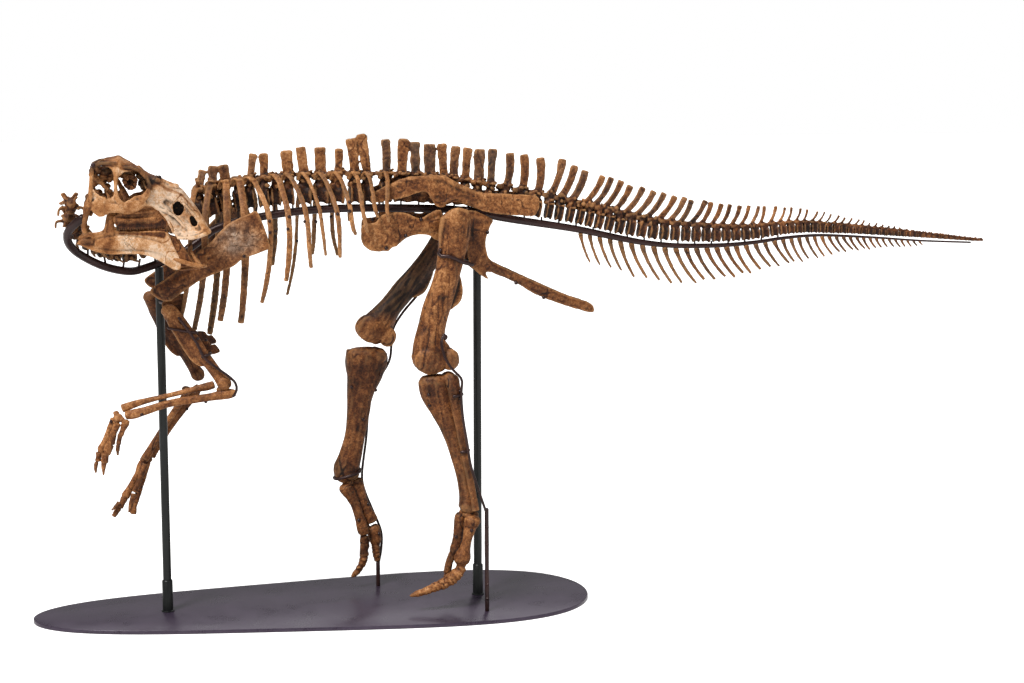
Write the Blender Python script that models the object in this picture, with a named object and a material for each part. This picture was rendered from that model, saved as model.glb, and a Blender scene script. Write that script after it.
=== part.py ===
"""Mounted skeleton of a young duck-billed dinosaur (hadrosaur), on its steel stand.

The frame has its origin at the centre of the base plate's underside, +X towards the tail
and +Z up.  The animal's left side is at -Y.  Lengths are in metres.
"""

import math

import bmesh
import bpy
import numpy as np
from mathutils import Vector

LEFT, RIGHT = -1, 1
SIDE_NAMES = {LEFT: "left", RIGHT: "right"}
GAP = 0.0005  # clearance between pieces that meet

# ---------------------------------------------------------------- stand
PLATE_LENGTH_HALF = 0.861
PLATE_WIDTH_HALF = 0.271
PLATE_EGG = (0.358, 0.430)  # how much wider the plate is towards the tail
PLATE_THICKNESS = 0.012
PLATE_SEGMENTS = 36
FRONT_POST_X, REAR_POST_X = -0.458, 0.511
POST_RADIUS = 0.0127
SLEEVE_RADIUS, SLEEVE_HEIGHT = 0.0162, 0.098
WIRE_RADIUS = 0.0032
FOOT_ROD_RADIUS = 0.0065

# The steel tube under the backbone: place along X, height and radius of its centre line
TUBE = (
    (-0.265, 1.196, 0.0122), (-0.148, 1.222, 0.0122), (-0.003, 1.239, 0.0122),
    (0.150, 1.243, 0.0122), (0.334, 1.239, 0.0122), (0.443, 1.233, 0.0122),
    (0.527, 1.219, 0.0122), (0.625, 1.200, 0.0120), (0.818, 1.168, 0.0110),
    (0.954, 1.138, 0.0100), (1.044, 1.120, 0.0092), (1.136, 1.109, 0.0084),
    (1.228, 1.106, 0.0077), (1.320, 1.107, 0.0070), (1.412, 1.114, 0.0062),
    (1.500, 1.125, 0.0055), (1.579, 1.131, 0.0049), (1.657, 1.131, 0.0045),
    (1.813, 1.121, 0.0038), (1.970, 1.108, 0.0033), (2.142, 1.099, 0.0030),
)
# Its front end curls to the animal's left and back, and ends at the skull
NECK_LOOP = (
    (-0.672, -0.246, 1.249), (-0.694, -0.234, 1.232), (-0.716, -0.206, 1.206),
    (-0.719, -0.176, 1.176), (-0.704, -0.146, 1.148), (-0.673, -0.114, 1.121),
    (-0.631, -0.080, 1.095), (-0.588, -0.048, 1.077), (-0.541, -0.020, 1.067),
    (-0.500, -0.005, 1.074), (-0.449, 0.000, 1.091), (-0.395, 0.000, 1.113),
    (-0.344, 0.000, 1.147), (-0.305, 0.000, 1.178),
)

# ---------------------------------------------------------------- backbone
# Line through the middles of the vertebral bodies: place along X, height, body height
COLUMN = (
    (-0.380, 1.236, 0.056), (-0.300, 1.258, 0.056), (-0.180, 1.279, 0.054),
    (-0.050, 1.290, 0.052), (0.150, 1.292, 0.052), (0.300, 1.289, 0.054),
    (0.450, 1.276, 0.056), (0.600, 1.251, 0.058), (0.800, 1.2155, 0.058),
    (1.000, 1.1685, 0.055), (1.100, 1.151, 0.050), (1.200, 1.142, 0.047),
    (1.300, 1.1385, 0.042), (1.400, 1.142, 0.036), (1.500, 1.154, 0.031),
    (1.580, 1.1575, 0.027), (1.656, 1.1545, 0.022), (1.734, 1.150, 0.017),
    (1.838, 1.141, 0.0135), (1.942, 1.131, 0.0105), (2.049, 1.120, 0.0075),
    (2.150, 1.108, 0.0050), (2.200, 1.104, 0.0045),
)
# Each vertebra from shoulder to tail root: its place along X, the tip of its spine
# (X, Z) and the spine's fore-and-aft width; a width of 0 is a spine that is missing
TRUNK_VERTEBRAE = (
    (-0.335, -0.322, 1.364, 0.025), (-0.296, -0.292, 1.376, 0.027),
    (-0.256, -0.263, 1.379, 0.033), (-0.218, -0.218, 1.345, 0.000),
    (-0.184, -0.172, 1.411, 0.024), (-0.142, -0.140, 1.412, 0.028),
    (-0.106, -0.106, 1.345, 0.000), (-0.068, -0.073, 1.420, 0.036),
    (-0.020, -0.029, 1.430, 0.034), (0.030, 0.030, 1.428, 0.038),
    (0.079, 0.087, 1.424, 0.026), (0.134, 0.123, 1.453, 0.033),
    (0.171, 0.155, 1.467, 0.031), (0.229, 0.229, 1.450, 0.029),
)
SACRAL_VERTEBRAE = (
    (0.275, 0.286, 1.451, 0.034), (0.319, 0.320, 1.442, 0.031),
    (0.364, 0.364, 1.435, 0.040), (0.406, 0.403, 1.436, 0.029),
    (0.435, 0.447, 1.427, 0.030), (0.472, 0.484, 1.422, 0.030),
    (0.514, 0.521, 1.418, 0.034), (0.552, 0.562, 1.418, 0.029),
)
TAIL_ROOT_VERTEBRAE = (
    (0.598, 0.614, 1.405, 0.028), (0.648, 0.659, 1.400, 0.028),
    (0.697, 0.711, 1.390, 0.028), (0.738, 0.782, 1.385, 0.025),
    (0.771, 0.821, 1.364, 0.024), (0.806, 0.854, 1.348, 0.022),
)
# Behind the tail root the vertebrae follow a rule; each row of a table is (X, value)
TAIL_FIRST, TAIL_LAST = 0.838, 2.188
TAIL_PITCH = ((0.838, 0.0300), (0.900, 0.0330), (1.050, 0.0370), (1.200, 0.0335),
              (1.450, 0.0310), (1.500, 0.0270), (1.750, 0.0225), (2.190, 0.0180))
# How far behind its vertebra the tip of a spine lies, the height of the tips, their width
SPINE_LEAN = ((0.838, 0.068), (1.050, 0.070), (1.150, 0.060), (1.250, 0.048), (1.350, 0.042),
              (1.450, 0.034), (1.700, 0.028), (1.900, 0.016), (2.200, 0.008))
SPINE_TOP = ((0.880, 1.340), (0.930, 1.328), (1.000, 1.302), (1.070, 1.281), (1.150, 1.263),
             (1.250, 1.245), (1.350, 1.232), (1.450, 1.229), (1.540, 1.221), (1.620, 1.209),
             (1.700, 1.190), (1.780, 1.174), (1.900, 1.151), (2.050, 1.129), (2.200, 1.1065))
SPINE_WIDTH = ((0.838, 0.018), (1.100, 0.016), (1.350, 0.011), (1.500, 0.008), (1.700, 0.005),
               (2.200, 0.003))
SPINE_BACK = ((0.838, 0.022), (1.400, 0.015), (1.700, 0.010), (2.200, 0.003))
# The same for the chevrons, the blades that hang below the vertebrae
CHEVRON_LAST = 1.975
CHEVRON_LEAN = ((0.838, 0.034), (1.000, 0.052), (1.100, 0.062), (1.200, 0.064), (1.300, 0.058),
                (1.450, 0.048), (1.600, 0.040), (1.750, 0.030), (1.850, 0.016), (1.980, 0.011))
CHEVRON_LOW = ((0.870, 1.057), (0.940, 1.036), (1.020, 1.009), (1.100, 0.989), (1.170, 0.982),
               (1.260, 0.988), (1.350, 1.003), (1.450, 1.025), (1.550, 1.045), (1.650, 1.062),
               (1.750, 1.077), (1.850, 1.085), (1.980, 1.089))
TAIL_SPLITS = (1.1600, 1.640)  # where the tail is divided into its three lengths
DISC_SPACE = 0.009  # open space between two vertebral bodies
BLADE_THICKNESS = ((-0.400, 0.010), (0.700, 0.009), (1.400, 0.006), (2.200, 0.0035))

# ---------------------------------------------------------------- ribs
# Cross-section of the rib cage: height and distance from the middle plane
CAGE = ((0.880, 0.148), (1.045, 0.167), (1.137, 0.171), (1.209, 0.158), (1.267, 0.134),
        (1.322, 0.085), (1.352, 0.040), (1.360, 0.022))
CAGE_WIDTH = ((-0.400, 0.70), (-0.200, 0.74), (-0.150, 0.84), (-0.080, 1.0), (0.060, 1.0),
              (0.250, 0.87))
# Each rib: vertebra number and width, then for the left and the right one X at mid-height and
# X, Z of the tip.  The ribs that broke off short end high up.
RIBS = (
    (0, 0.016, (-0.368, -0.401, 0.928), (-0.355, -0.360, 1.090)),
    (1, 0.021, (-0.325, -0.363, 0.897), (-0.310, -0.315, 1.080)),
    (2, 0.024, (-0.259, -0.286, 0.923), (-0.272, -0.308, 0.853)),
    (3, 0.024, (-0.207, -0.225, 0.915), (-0.205, -0.215, 1.120)),
    (4, 0.018, (-0.134, -0.163, 0.976), (-0.155, -0.160, 1.215)),
    (6, 0.020, (-0.080, -0.093, 1.044), (-0.096, -0.108, 1.057)),
    (7, 0.017, (-0.025, -0.019, 1.082), (-0.060, -0.060, 1.230)),
    (8, 0.013, (0.017, 0.025, 1.117), (-0.028, -0.063, 0.962)),
    (9, 0.016, (0.067, 0.067, 1.110), (0.026, 0.020, 1.085)),
    (10, 0.015, (0.108, 0.117, 1.176), (0.080, 0.098, 1.082)),
    (11, 0.015, (0.142, 0.151, 1.183), (0.130, 0.135, 1.190)),
    (12, 0.014, (0.180, 0.187, 1.226), (0.176, 0.180, 1.235)),
    (13, 0.014, (0.213, 0.217, 1.211), (0.222, 0.225, 1.235)),
)

# ---------------------------------------------------------------- head
SKULL_Y = -0.246  # the head's own middle plane
# Skull profile, back to front: X at the top, X at the underside, Z of the top, Z of the
# underside, half width above, half width below
SKULL_SECTIONS = (
    (-0.660, -0.676, 1.390, 1.264, 0.058, 0.060), (-0.640, -0.652, 1.402, 1.248, 0.074, 0.078),
    (-0.612, -0.614, 1.417, 1.250, 0.082, 0.088), (-0.576, -0.576, 1.425, 1.258, 0.078, 0.082),
    (-0.530, -0.530, 1.405, 1.250, 0.073, 0.066), (-0.490, -0.490, 1.380, 1.228, 0.064, 0.056),
    (-0.450, -0.450, 1.357, 1.222, 0.050, 0.048), (-0.415, -0.415, 1.341, 1.205, 0.042, 0.046),
    (-0.382, -0.382, 1.310, 1.190, 0.038, 0.052), (-0.350, -0.350, 1.257, 1.186, 0.042, 0.058),
    (-0.322, -0.322, 1.222, 1.186, 0.044, 0.052), (-0.313, -0.313, 1.208, 1.192, 0.036, 0.042),
)
# Openings of the skull: centre (X, Z) and half sizes along and across, and lean in degrees
ORBIT = (-0.533, 1.342, 0.041, 0.043, 0)
CHEEK_OPENING = (-0.612, 1.338, 0.029, 0.052, 4)
NOSTRIL = (-0.388, 1.262, 0.040, 0.013, 38)
SEPTUM = 0.014  # half width of the bone left between the openings of the two sides
EYE_RING_OUTER, EYE_RING_INNER = 0.0235, 0.0135


# ---------------------------------------------------------------- helpers
def table_at(table, x):
    """The value at x of a table of (x, value) rows, on straight lines."""
    return float(np.interp(x, [row[0] for row in table], [row[1] for row in table]))


def smooth_at(rows, x, column):
    """The value at x of one column of a table, on a smooth curve through its rows."""
    xs = np.array([row[0] for row in rows])
    ys = np.array([row[column] for row in rows])
    slopes = np.gradient(ys, xs)
    i = int(np.clip(np.searchsorted(xs, x) - 1, 0, len(xs) - 2))
    step = xs[i + 1] - xs[i]
    t = min(max((x - xs[i]) / step, 0.0), 1.0)
    ease = t * t * (3 - 2 * t)
    rise = slopes[i] * step * t * (1 - t) ** 2 - slopes[i + 1] * step * t * t * (1 - t)
    return float(ys[i] + (ys[i + 1] - ys[i]) * ease + rise)


def tube_z(x):
    return table_at([row[:2] for row in TUBE], x)


def tube_radius(x):
    return table_at([(row[0], row[2]) for row in TUBE], x)


def column_z(x):
    return smooth_at(COLUMN, x, 1)


def body_height(x):
    return smooth_at(COLUMN, x, 2)


def loft(path, sizes, sides=6, across=(0, 1, 0), turn=0.0):
    """A closed tube along path.  sizes holds (half depth, half width) at each point, the
    half width being measured along across, square to the path."""
    path = [Vector(point) for point in path]
    points, faces = [], []
    corner = 1 / math.cos(math.pi / 4) if sides == 4 else 1.0
    phase = turn + (math.pi / 4 if sides == 4 else 0.0)
    for i, point in enumerate(path):
        ahead = path[min(i + 1, len(path) - 1)] - path[max(i - 1, 0)]
        ahead.normalize()
        side = Vector(across)
        side = (side - ahead * side.dot(ahead)).normalized()
        up = ahead.cross(side)
        half_up, half_side = sizes[i]
        for k in range(sides):
            angle = phase + 2 * math.pi * k / sides
            offset = up * (half_up * math.cos(angle)) + side * (half_side * math.sin(angle))
            points.append(point + offset * corner)
    for i in range(len(path) - 1):
        for k in range(sides):
            nxt = (k + 1) % sides
            a, b = i * sides + k, i * sides + nxt
            faces.append((a, b, b + sides, a + sides))
    faces.append(tuple(range(sides))[::-1])
    last = (len(path) - 1) * sides
    faces.append(tuple(last + k for k in range(sides)))
    return points, faces


def rod(path, radius, sides=6):
    return loft(path, [(radius, radius)] * len(path), sides)


def extrude(outline, offset):
    """A closed block: a flat outline of 3-D points, swept along offset."""
    outline = [Vector(point) for point in outline]
    offset = Vector(offset)
    count = len(outline)
    points = outline + [point + offset for point in outline]
    faces = [tuple(range(count))[::-1], tuple(range(count, 2 * count))]
    for k in range(count):
        nxt = (k + 1) % count
        faces.append((k, nxt, nxt + count, k + count))
    return points, faces


def slab(outline, y_at, thickness):
    """A plate whose outline is seen from the side; y_at(x, z) gives its middle surface."""
    front = [Vector((x, y_at(x, z) - thickness / 2, z)) for x, z in outline]
    return extrude(front, (0, thickness, 0))


def mesh_of(name, shells):
    bm = bmesh.new()
    for points, faces in shells:
        verts = [bm.verts.new(point) for point in points]
        for face in faces:
            bm.faces.new([verts[i] for i in face])
    bmesh.ops.recalc_face_normals(bm, faces=bm.faces)
    mesh = bpy.data.meshes.new(name)
    bm.to_mesh(mesh)
    bm.free()
    return mesh


def link(name, mesh):
    obj = bpy.data.objects.new(name, mesh)
    bpy.context.scene.collection.objects.link(obj)
    return obj


def apply_boolean(obj, operation, shells):
    """Joins shells to the object or cuts them from it."""
    other = link(obj.name + "_operand", mesh_of(obj.name + "_operand", shells))
    modifier = obj.modifiers.new("Boolean", "BOOLEAN")
    modifier.operation = operation
    modifier.object = other
    modifier.use_self = True
    graph = bpy.context.evaluated_depsgraph_get()
    mesh = bpy.data.meshes.new_from_object(obj.evaluated_get(graph))
    obj.modifiers.clear()
    obj.data = mesh
    mesh.name = obj.name
    bpy.data.objects.remove(other)


def material(name, colour, roughness, metallic=0.0):
    made = bpy.data.materials.new(name)
    made.use_nodes = True
    shader = made.node_tree.nodes["Principled BSDF"]
    shader.inputs["Base Color"].default_value = (*colour, 1)
    shader.inputs["Roughness"].default_value = roughness
    shader.inputs["Metallic"].default_value = metallic
    return made


def piece(name, finish, shells, cutters=()):
    """One named node: its shells joined into one body, less the cutters."""
    obj = link(name, mesh_of(name, shells[:1]))
    if len(shells) > 1:
        apply_boolean(obj, "UNION", shells[1:])
    if cutters:
        apply_boolean(obj, "DIFFERENCE", cutters)
    own = material(name, *FINISHES[finish])
    obj.data.materials.clear()
    obj.data.materials.append(own)
    obj.data.shade_smooth()
    obj.data.set_sharp_from_angle(angle=math.radians(35))
    return obj


FINISHES = {
    "bone": ((0.36, 0.17, 0.07), 0.62),
    "pale_bone": ((0.48, 0.29, 0.15), 0.60),
    "dark_bone": ((0.22, 0.10, 0.05), 0.60),
    "steel": ((0.045, 0.032, 0.030), 0.38, 0.6),
    "plate": ((0.075, 0.062, 0.075), 0.34, 0.5),
}


# ---------------------------------------------------------------- stand
def plate_outline():
    points = []
    for k in range(PLATE_SEGMENTS):
        turn = 2 * math.pi * k / PLATE_SEGMENTS
        x = PLATE_LENGTH_HALF * math.cos(turn)
        egg = 1 + PLATE_EGG[0] * math.cos(turn) + PLATE_EGG[1] * math.cos(turn) ** 2
        points.append((x, PLATE_WIDTH_HALF * math.sin(turn) * egg))
    return points


def make_base():
    outline = [(x, y, 0) for x, y in plate_outline()]
    piece("stand_base", "plate", [extrude(outline, (0, 0, PLATE_THICKNESS))])


def spine_tube():
    """The tube from the skull, round the neck and along the back to the tail."""
    path = [Vector(point) for point in NECK_LOOP] + [Vector((x, 0, z)) for x, z, _ in TUBE]
    radii = [TUBE[0][2]] * len(NECK_LOOP) + [radius for _, _, radius in TUBE]
    return loft(path, [(radius, radius) for radius in radii], 7)


def post_shell(x, radius, top_at, sides=10):
    """An upright round bar on the plate, its top cut to the slope of the tube above it."""
    low, high = [], []
    for k in range(sides):
        angle = 2 * math.pi * k / sides
        px, py = x + radius * math.cos(angle), radius * math.sin(angle)
        low.append(Vector((px, py, PLATE_THICKNESS + GAP)))
        high.append(Vector((px, py, top_at(px))))
    faces = [tuple(range(sides))[::-1], tuple(range(sides, 2 * sides))]
    for k in range(sides):
        nxt = (k + 1) % sides
        faces.append((k, nxt, nxt + sides, k + sides))
    return low + high, faces


def under_tube(x):
    """Height just below the tube over a post."""
    if x < TUBE[0][0]:
        return table_at([(row[0], row[2]) for row in NECK_LOOP[-7:]], x) - TUBE[0][2] * 1.07 - GAP
    return tube_z(x) - tube_radius(x) * 1.03 - GAP


def make_posts():
    sleeve_top = PLATE_THICKNESS + SLEEVE_HEIGHT
    for name, x in (("stand_front_post", FRONT_POST_X), ("stand_rear_post", REAR_POST_X)):
        shells = [post_shell(x, POST_RADIUS, under_tube),
                  post_shell(x, SLEEVE_RADIUS, lambda px: sleeve_top)]
        piece(name, "steel", shells)


def make_armature():
    piece("stand_spine_tube", "steel", [spine_tube()])


# ---------------------------------------------------------------- backbone
def tail_places():
    """X of each vertebra behind the tail root."""
    places = []
    x = TAIL_FIRST
    while x < TAIL_LAST:
        places.append(x)
        x += table_at(TAIL_PITCH, x)
    return places


def body_half_width(x):
    """Half width of a vertebral body; towards the tip it stays wider than the tube."""
    least = tube_radius(x) + 0.0026 if x < CHEVRON_LAST + 0.01 else 0.0
    return max(body_height(x) * 0.45, least)


def body_shell(x, length):
    """A vertebral body: a drum of flat sides across the column."""
    height = body_height(x)
    slope = (column_z(x + 0.01) - column_z(x - 0.01)) / 0.02
    up = Vector((-slope, 0, 1)).normalized() * (height / 2)
    side = Vector((0, body_half_width(x), 0))
    ring = ((0.85, -1), (0.85, 1), (-0.85, 1), (-0.85, -1))
    start = Vector((x - length / 2, 0, column_z(x) - slope * length / 2))
    return extrude([start + side * s + up * u for s, u in ring], (length, 0, slope * length))


def arch_top(x):
    """Height of the joints above the vertebral bodies."""
    return column_z(x) + body_height(x) * 0.5 + min(0.026, body_height(x) * 0.50)


def arch_bottom(x):
    return column_z(x) + body_height(x) * 0.28


def comb_outline(start, end, spines):
    """Side view of the neural arches, joined in a row, with their spines.  Each spine is
    (X of its foot, X and Z of its tip, width)."""
    count = max(2, round((end - start) / 0.08))
    outline = [(x, arch_bottom(x)) for x in np.linspace(start, end, count)]
    outline.append((end, arch_top(end)))
    for foot, tip_x, tip_z, width in sorted(spines, reverse=True):
        low = Vector((foot, arch_top(foot)))
        high = Vector((tip_x, tip_z))
        along = (high - low).normalized()
        across = Vector((along.y, -along.x)) * (width / 2)
        right, left = low.x + 0.5 * width, low.x - 0.5 * width
        tips = [tuple(high)] if foot > TAIL_SPLITS[1] else [tuple(high + across),
                                                            tuple(high - across)]
        outline += [(right, arch_top(right)), *tips, (left, arch_top(left))]
    outline.append((start, arch_top(start)))
    return outline


def comb_shell(start, end, spines, y_low, thickness):
    outline = comb_outline(start, end, spines)
    return extrude([(x, y_low, z) for x, z in outline], (0, thickness, 0))


def chevron_shell(x):
    """A haemal arch: two limbs pass the steel tube and meet in a blade below it."""
    clear = tube_radius(x) + 0.0010
    top = column_z(x) - body_height(x) * 0.25
    reach = body_half_width(x) * 0.60
    rise = top - tube_z(x)
    tip_x = x + table_at(CHEVRON_LEAN, x)
    tip = table_at(CHEVRON_LOW, tip_x)
    depth = max(0.0036, 0.0085 - 0.0035 * (x - 0.8))
    half = 0.0030 if x < 1.5 else 0.0019
    wall = half * 1.1
    if x < 1.5:
        # The limbs run straight and just clear the round tube
        spare = reach ** 2 - clear ** 2
        term = clear ** 2 * rise
        fork = (term + math.sqrt(term ** 2 + spare * clear ** 2 * (reach ** 2 + rise ** 2))) / spare
        fork = tube_z(x) - fork
        section = ((reach, top), (0.0, fork), (-reach, top), (-reach - wall, top), (-half, tip),
                   (half, tip), (reach + wall, top))
    else:
        low = tube_z(x) - clear
        wall = max(0.0016, body_half_width(x) - clear - 0.0004)
        section = ((clear, top), (clear, low), (-clear, low), (-clear, top), (-clear - wall, top),
                   (-clear - wall, low), (-half, tip), (half, tip), (clear + wall, low),
                   (clear + wall, top))
    points = []
    for y, z in section:
        share = (top - z) / (top - tip)
        points.append((x + (tip_x - x) * share - depth / 2, y, z))
    return extrude(points, (depth, 0, 0))


def make_tail():
    spines, bodies = [], []
    places = [row[0] for row in TAIL_ROOT_VERTEBRAE] + tail_places()
    for i, x in enumerate(places):
        ahead = x - places[i - 1] if i else 0.040
        behind = places[i + 1] - x if i + 1 < len(places) else ahead
        bodies.append((x, min(ahead, behind) - DISC_SPACE))
        if i < len(TAIL_ROOT_VERTEBRAE):
            _, tip_x, tip_z, width = TAIL_ROOT_VERTEBRAE[i]
            spines.append((x + 0.006, tip_x, tip_z, width))
        else:
            tip_x = x + table_at(SPINE_LEAN, x)
            spines.append((x + table_at(SPINE_BACK, x), tip_x, table_at(SPINE_TOP, tip_x),
                           table_at(SPINE_WIDTH, x)))
    bounds = (places[0] - 0.022,) + TAIL_SPLITS + (TAIL_LAST + 0.010,)
    for number, name in enumerate(("tail_base", "tail_middle", "tail_end")):
        start, end = bounds[number] + GAP, bounds[number + 1] - GAP
        own = [i for i, x in enumerate(places) if start < x < end]
        thickness = table_at(BLADE_THICKNESS, 0.5 * (start + end))
        own_spines = [(min(spines[i][0], end - spines[i][3] / 2 - 0.001), *spines[i][1:])
                      for i in own]
        shells = [comb_shell(start, end, own_spines, -thickness / 2, thickness)]
        if name == "tail_end":
            xs = np.linspace(start + 0.002, end + 0.003, 8)
            shells.append(loft([(x, 0, column_z(x)) for x in xs],
                               [(body_height(x) * 0.5, body_half_width(x)) for x in xs], 4))
        else:
            shells += [body_shell(*bodies[i]) for i in own]
        shells += [chevron_shell(places[i]) for i in own
                   if TAIL_FIRST <= places[i] < CHEVRON_LAST]
        piece(name, "bone", shells)


def make_sacrum():
    """The fused hip vertebrae, with the side processes that carry the two ilia."""
    places = [row[0] for row in SACRAL_VERTEBRAE]
    start, end = places[0] - 0.022, TAIL_ROOT_VERTEBRAE[0][0] - 0.022 - GAP
    thickness = table_at(BLADE_THICKNESS, 0.4)
    xs = np.linspace(start, end - 0.009, 5)
    sizes = [(body_height(x) * 0.5, body_height(x) * 0.45) for x in xs]
    shells = [loft([(x, 0, column_z(x)) for x in xs], sizes, 6)]
    shells.append(comb_shell(start, end, SACRAL_VERTEBRAE, -thickness / 2, thickness))
    for x in places[1:7:2]:
        z = column_z(x) + 0.012
        reach = ilium_y(x, z + 0.018) - ILIUM_THICKNESS / 2 - 4 * GAP
        shells.append(loft([(x, -reach, z), (x, reach, z)], [(0.012, 0.010)] * 2, 4,
                           across=(1, 0, 0)))
    piece("sacrum", "bone", shells)


def cage_point(x, z, side):
    width = table_at(CAGE, z) * table_at(CAGE_WIDTH, x)
    return Vector((x, side * width, z))


def rib_shell(row, side):
    """A rib, from its vertebra out to its widest point and down to its tip."""
    number, width = row[:2]
    mid_x, tip_x, tip_z = row[2] if side == LEFT else row[3]
    head_x = TRUNK_VERTEBRAE[number][0]
    path = [Vector((head_x, side * 0.0052, arch_top(head_x) - 0.012))]
    for z in (1.346, 1.290, 1.200):
        share = (1.352 - z) / (1.352 - 1.200)
        if z > tip_z + 0.02:
            x = head_x + (mid_x - head_x) * math.sin(share * math.pi / 2)
            path.append(cage_point(x, min(z, arch_top(head_x) + 0.010), side))
    if tip_z < 1.18:
        steps = max(1, round((1.200 - tip_z) / 0.16))
        for k in range(1, steps + 1):
            share = k / steps
            x = mid_x + (tip_x - mid_x) * share ** 2
            path.append(cage_point(x, 1.200 + (tip_z - 1.200) * share, side))
    else:
        path.append(cage_point(tip_x, tip_z, side))
    sizes = [(0.0042, width / 2)] * len(path)
    sizes[0] = (0.007, width * 0.42)
    sizes[-1] = (0.0038, width * 0.42)
    return loft(path, sizes, 4, across=(1, 0, 0))


def half_column(places, side):
    """One side of the row of vertebral bodies, each standing proud of the disc spaces."""
    points, faces = [], []
    for i, x in enumerate(places):
        ahead = x - places[i - 1] if i else 0.040
        behind = places[i + 1] - x if i + 1 < len(places) else 0.040
        for rim, grow in ((-0.50, 0.74), (-0.30, 1.0), (0.30, 1.0)):
            px = x + rim * (ahead if rim < 0 else behind)
            wide, high = body_half_width(px) * grow, body_height(px) * 0.5 * grow
            for y, z in ((GAP, -high), (wide, -high * 0.6), (wide, high * 0.6), (GAP, high)):
                points.append(Vector((px, side * y, column_z(px) + z)))
    rings = len(points) // 4
    for i in range(rings - 1):
        for k in range(4):
            a, b = i * 4 + k, i * 4 + (k + 1) % 4
            faces.append((a, b, b + 4, a + 4))
    faces += [(3, 2, 1, 0), tuple(len(points) - 4 + k for k in range(4))]
    return points, faces


def make_trunk():
    """The trunk's vertebrae, parted down the middle plane, each half with its ribs."""
    places = [row[0] for row in TRUNK_VERTEBRAE]
    start, end = places[0] - 0.018, SACRAL_VERTEBRAE[0][0] - 0.022 - 2 * GAP
    spines = [row for row in TRUNK_VERTEBRAE if row[3]]
    thickness = 0.0055
    for side in (LEFT, RIGHT):
        inner = GAP / 2
        y_low = inner if side == RIGHT else -inner - thickness
        shells = [comb_shell(start, end, spines, y_low, thickness), half_column(places, side)]
        shells += [rib_shell(row, side) for row in RIBS]
        piece("trunk_" + SIDE_NAMES[side], "bone", shells)


# Line through the neck's vertebrae, from the trunk round to the back of the skull, with the
# half width of each
NECK_LINE = (
    (-0.378, 0.000, 1.236, 0.026), (-0.418, -0.002, 1.200, 0.025), (-0.456, -0.006, 1.160, 0.024),
    (-0.498, -0.014, 1.126, 0.022), (-0.545, -0.028, 1.113, 0.021), (-0.590, -0.050, 1.119, 0.021),
    (-0.634, -0.078, 1.138, 0.022), (-0.672, -0.106, 1.166, 0.024), (-0.700, -0.138, 1.200, 0.026),
    (-0.715, -0.172, 1.236, 0.028), (-0.712, -0.205, 1.266, 0.030),
)


def make_neck():
    """A chain of bodies, each waisted at its ends, with a low spine on each."""
    line = [Vector(row[:3]) for row in NECK_LINE]
    path, sizes = [], []
    for i, point in enumerate(line):
        ahead = line[min(i + 1, len(line) - 1)] - line[max(i - 1, 0)]
        half = ahead.normalized() * 0.0155
        path += [point - half, point + half]
        full = NECK_LINE[i][3]
        sizes += [(full * 0.80, full * 0.80), (full, full)]
    path[0] += (path[1] - path[0]) * 0.15
    shells = [loft(path, sizes, 5)]
    for i, point in enumerate(line):
        ahead = (line[min(i + 1, len(line) - 1)] - line[max(i - 1, 0)]).normalized()
        side = ahead.cross(Vector((0, 0, 1))).normalized()
        up = side.cross(ahead).normalized()
        foot, top = point + up * 0.008, point + up * 0.043 - ahead * 0.004
        shells.append(loft([foot, top], [(0.020, 0.010), (0.004, 0.007)], 4, across=ahead))
    piece("neck", "bone", shells)


# ---------------------------------------------------------------- head
def oval(cx, cz, half_long, half_high, lean, count=10):
    turn = math.radians(lean)
    points = []
    for k in range(count):
        angle = 2 * math.pi * (k + 0.5) / count
        u, v = half_long * math.cos(angle), half_high * math.sin(angle)
        points.append((cx + u * math.cos(turn) + v * math.sin(turn),
                       cz - u * math.sin(turn) + v * math.cos(turn)))
    return points


def pocket(opening, side, depth_from, count=10):
    """A cutter that sinks an opening from one side of the skull towards its middle."""
    outline = oval(*opening, count=count)
    start = SKULL_Y + side * depth_from
    return extrude([(x, start, z) for x, z in outline], (0, side * 0.14, 0))


def skull_shell():
    points, faces = [], []
    ring = ((0.0, 1.0, 0), (0.62, 0.93, 0), (1.0, 0.62, 0), (1.0, 0.12, 1), (0.62, 0.0, 1))
    for x_top, x_low, top, low, wide_top, wide_low in SKULL_SECTIONS:
        section = [(share * (wide_low if below else wide_top), level)
                   for share, level, below in ring]
        section += [(-y, level) for y, level in section[:0:-1]]
        points += [Vector((x_low + (x_top - x_low) * level, SKULL_Y + y, low + (top - low) * level))
                   for y, level in section]
    count = 2 * len(ring) - 1
    for i in range(len(SKULL_SECTIONS) - 1):
        for k in range(count):
            nxt = (k + 1) % count
            a, b = i * count + k, i * count + nxt
            faces.append((a, b, b + count, a + count))
    faces.append(tuple(range(count))[::-1])
    last = (len(SKULL_SECTIONS) - 1) * count
    faces.append(tuple(last + k for k in range(count)))
    return points, faces


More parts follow.
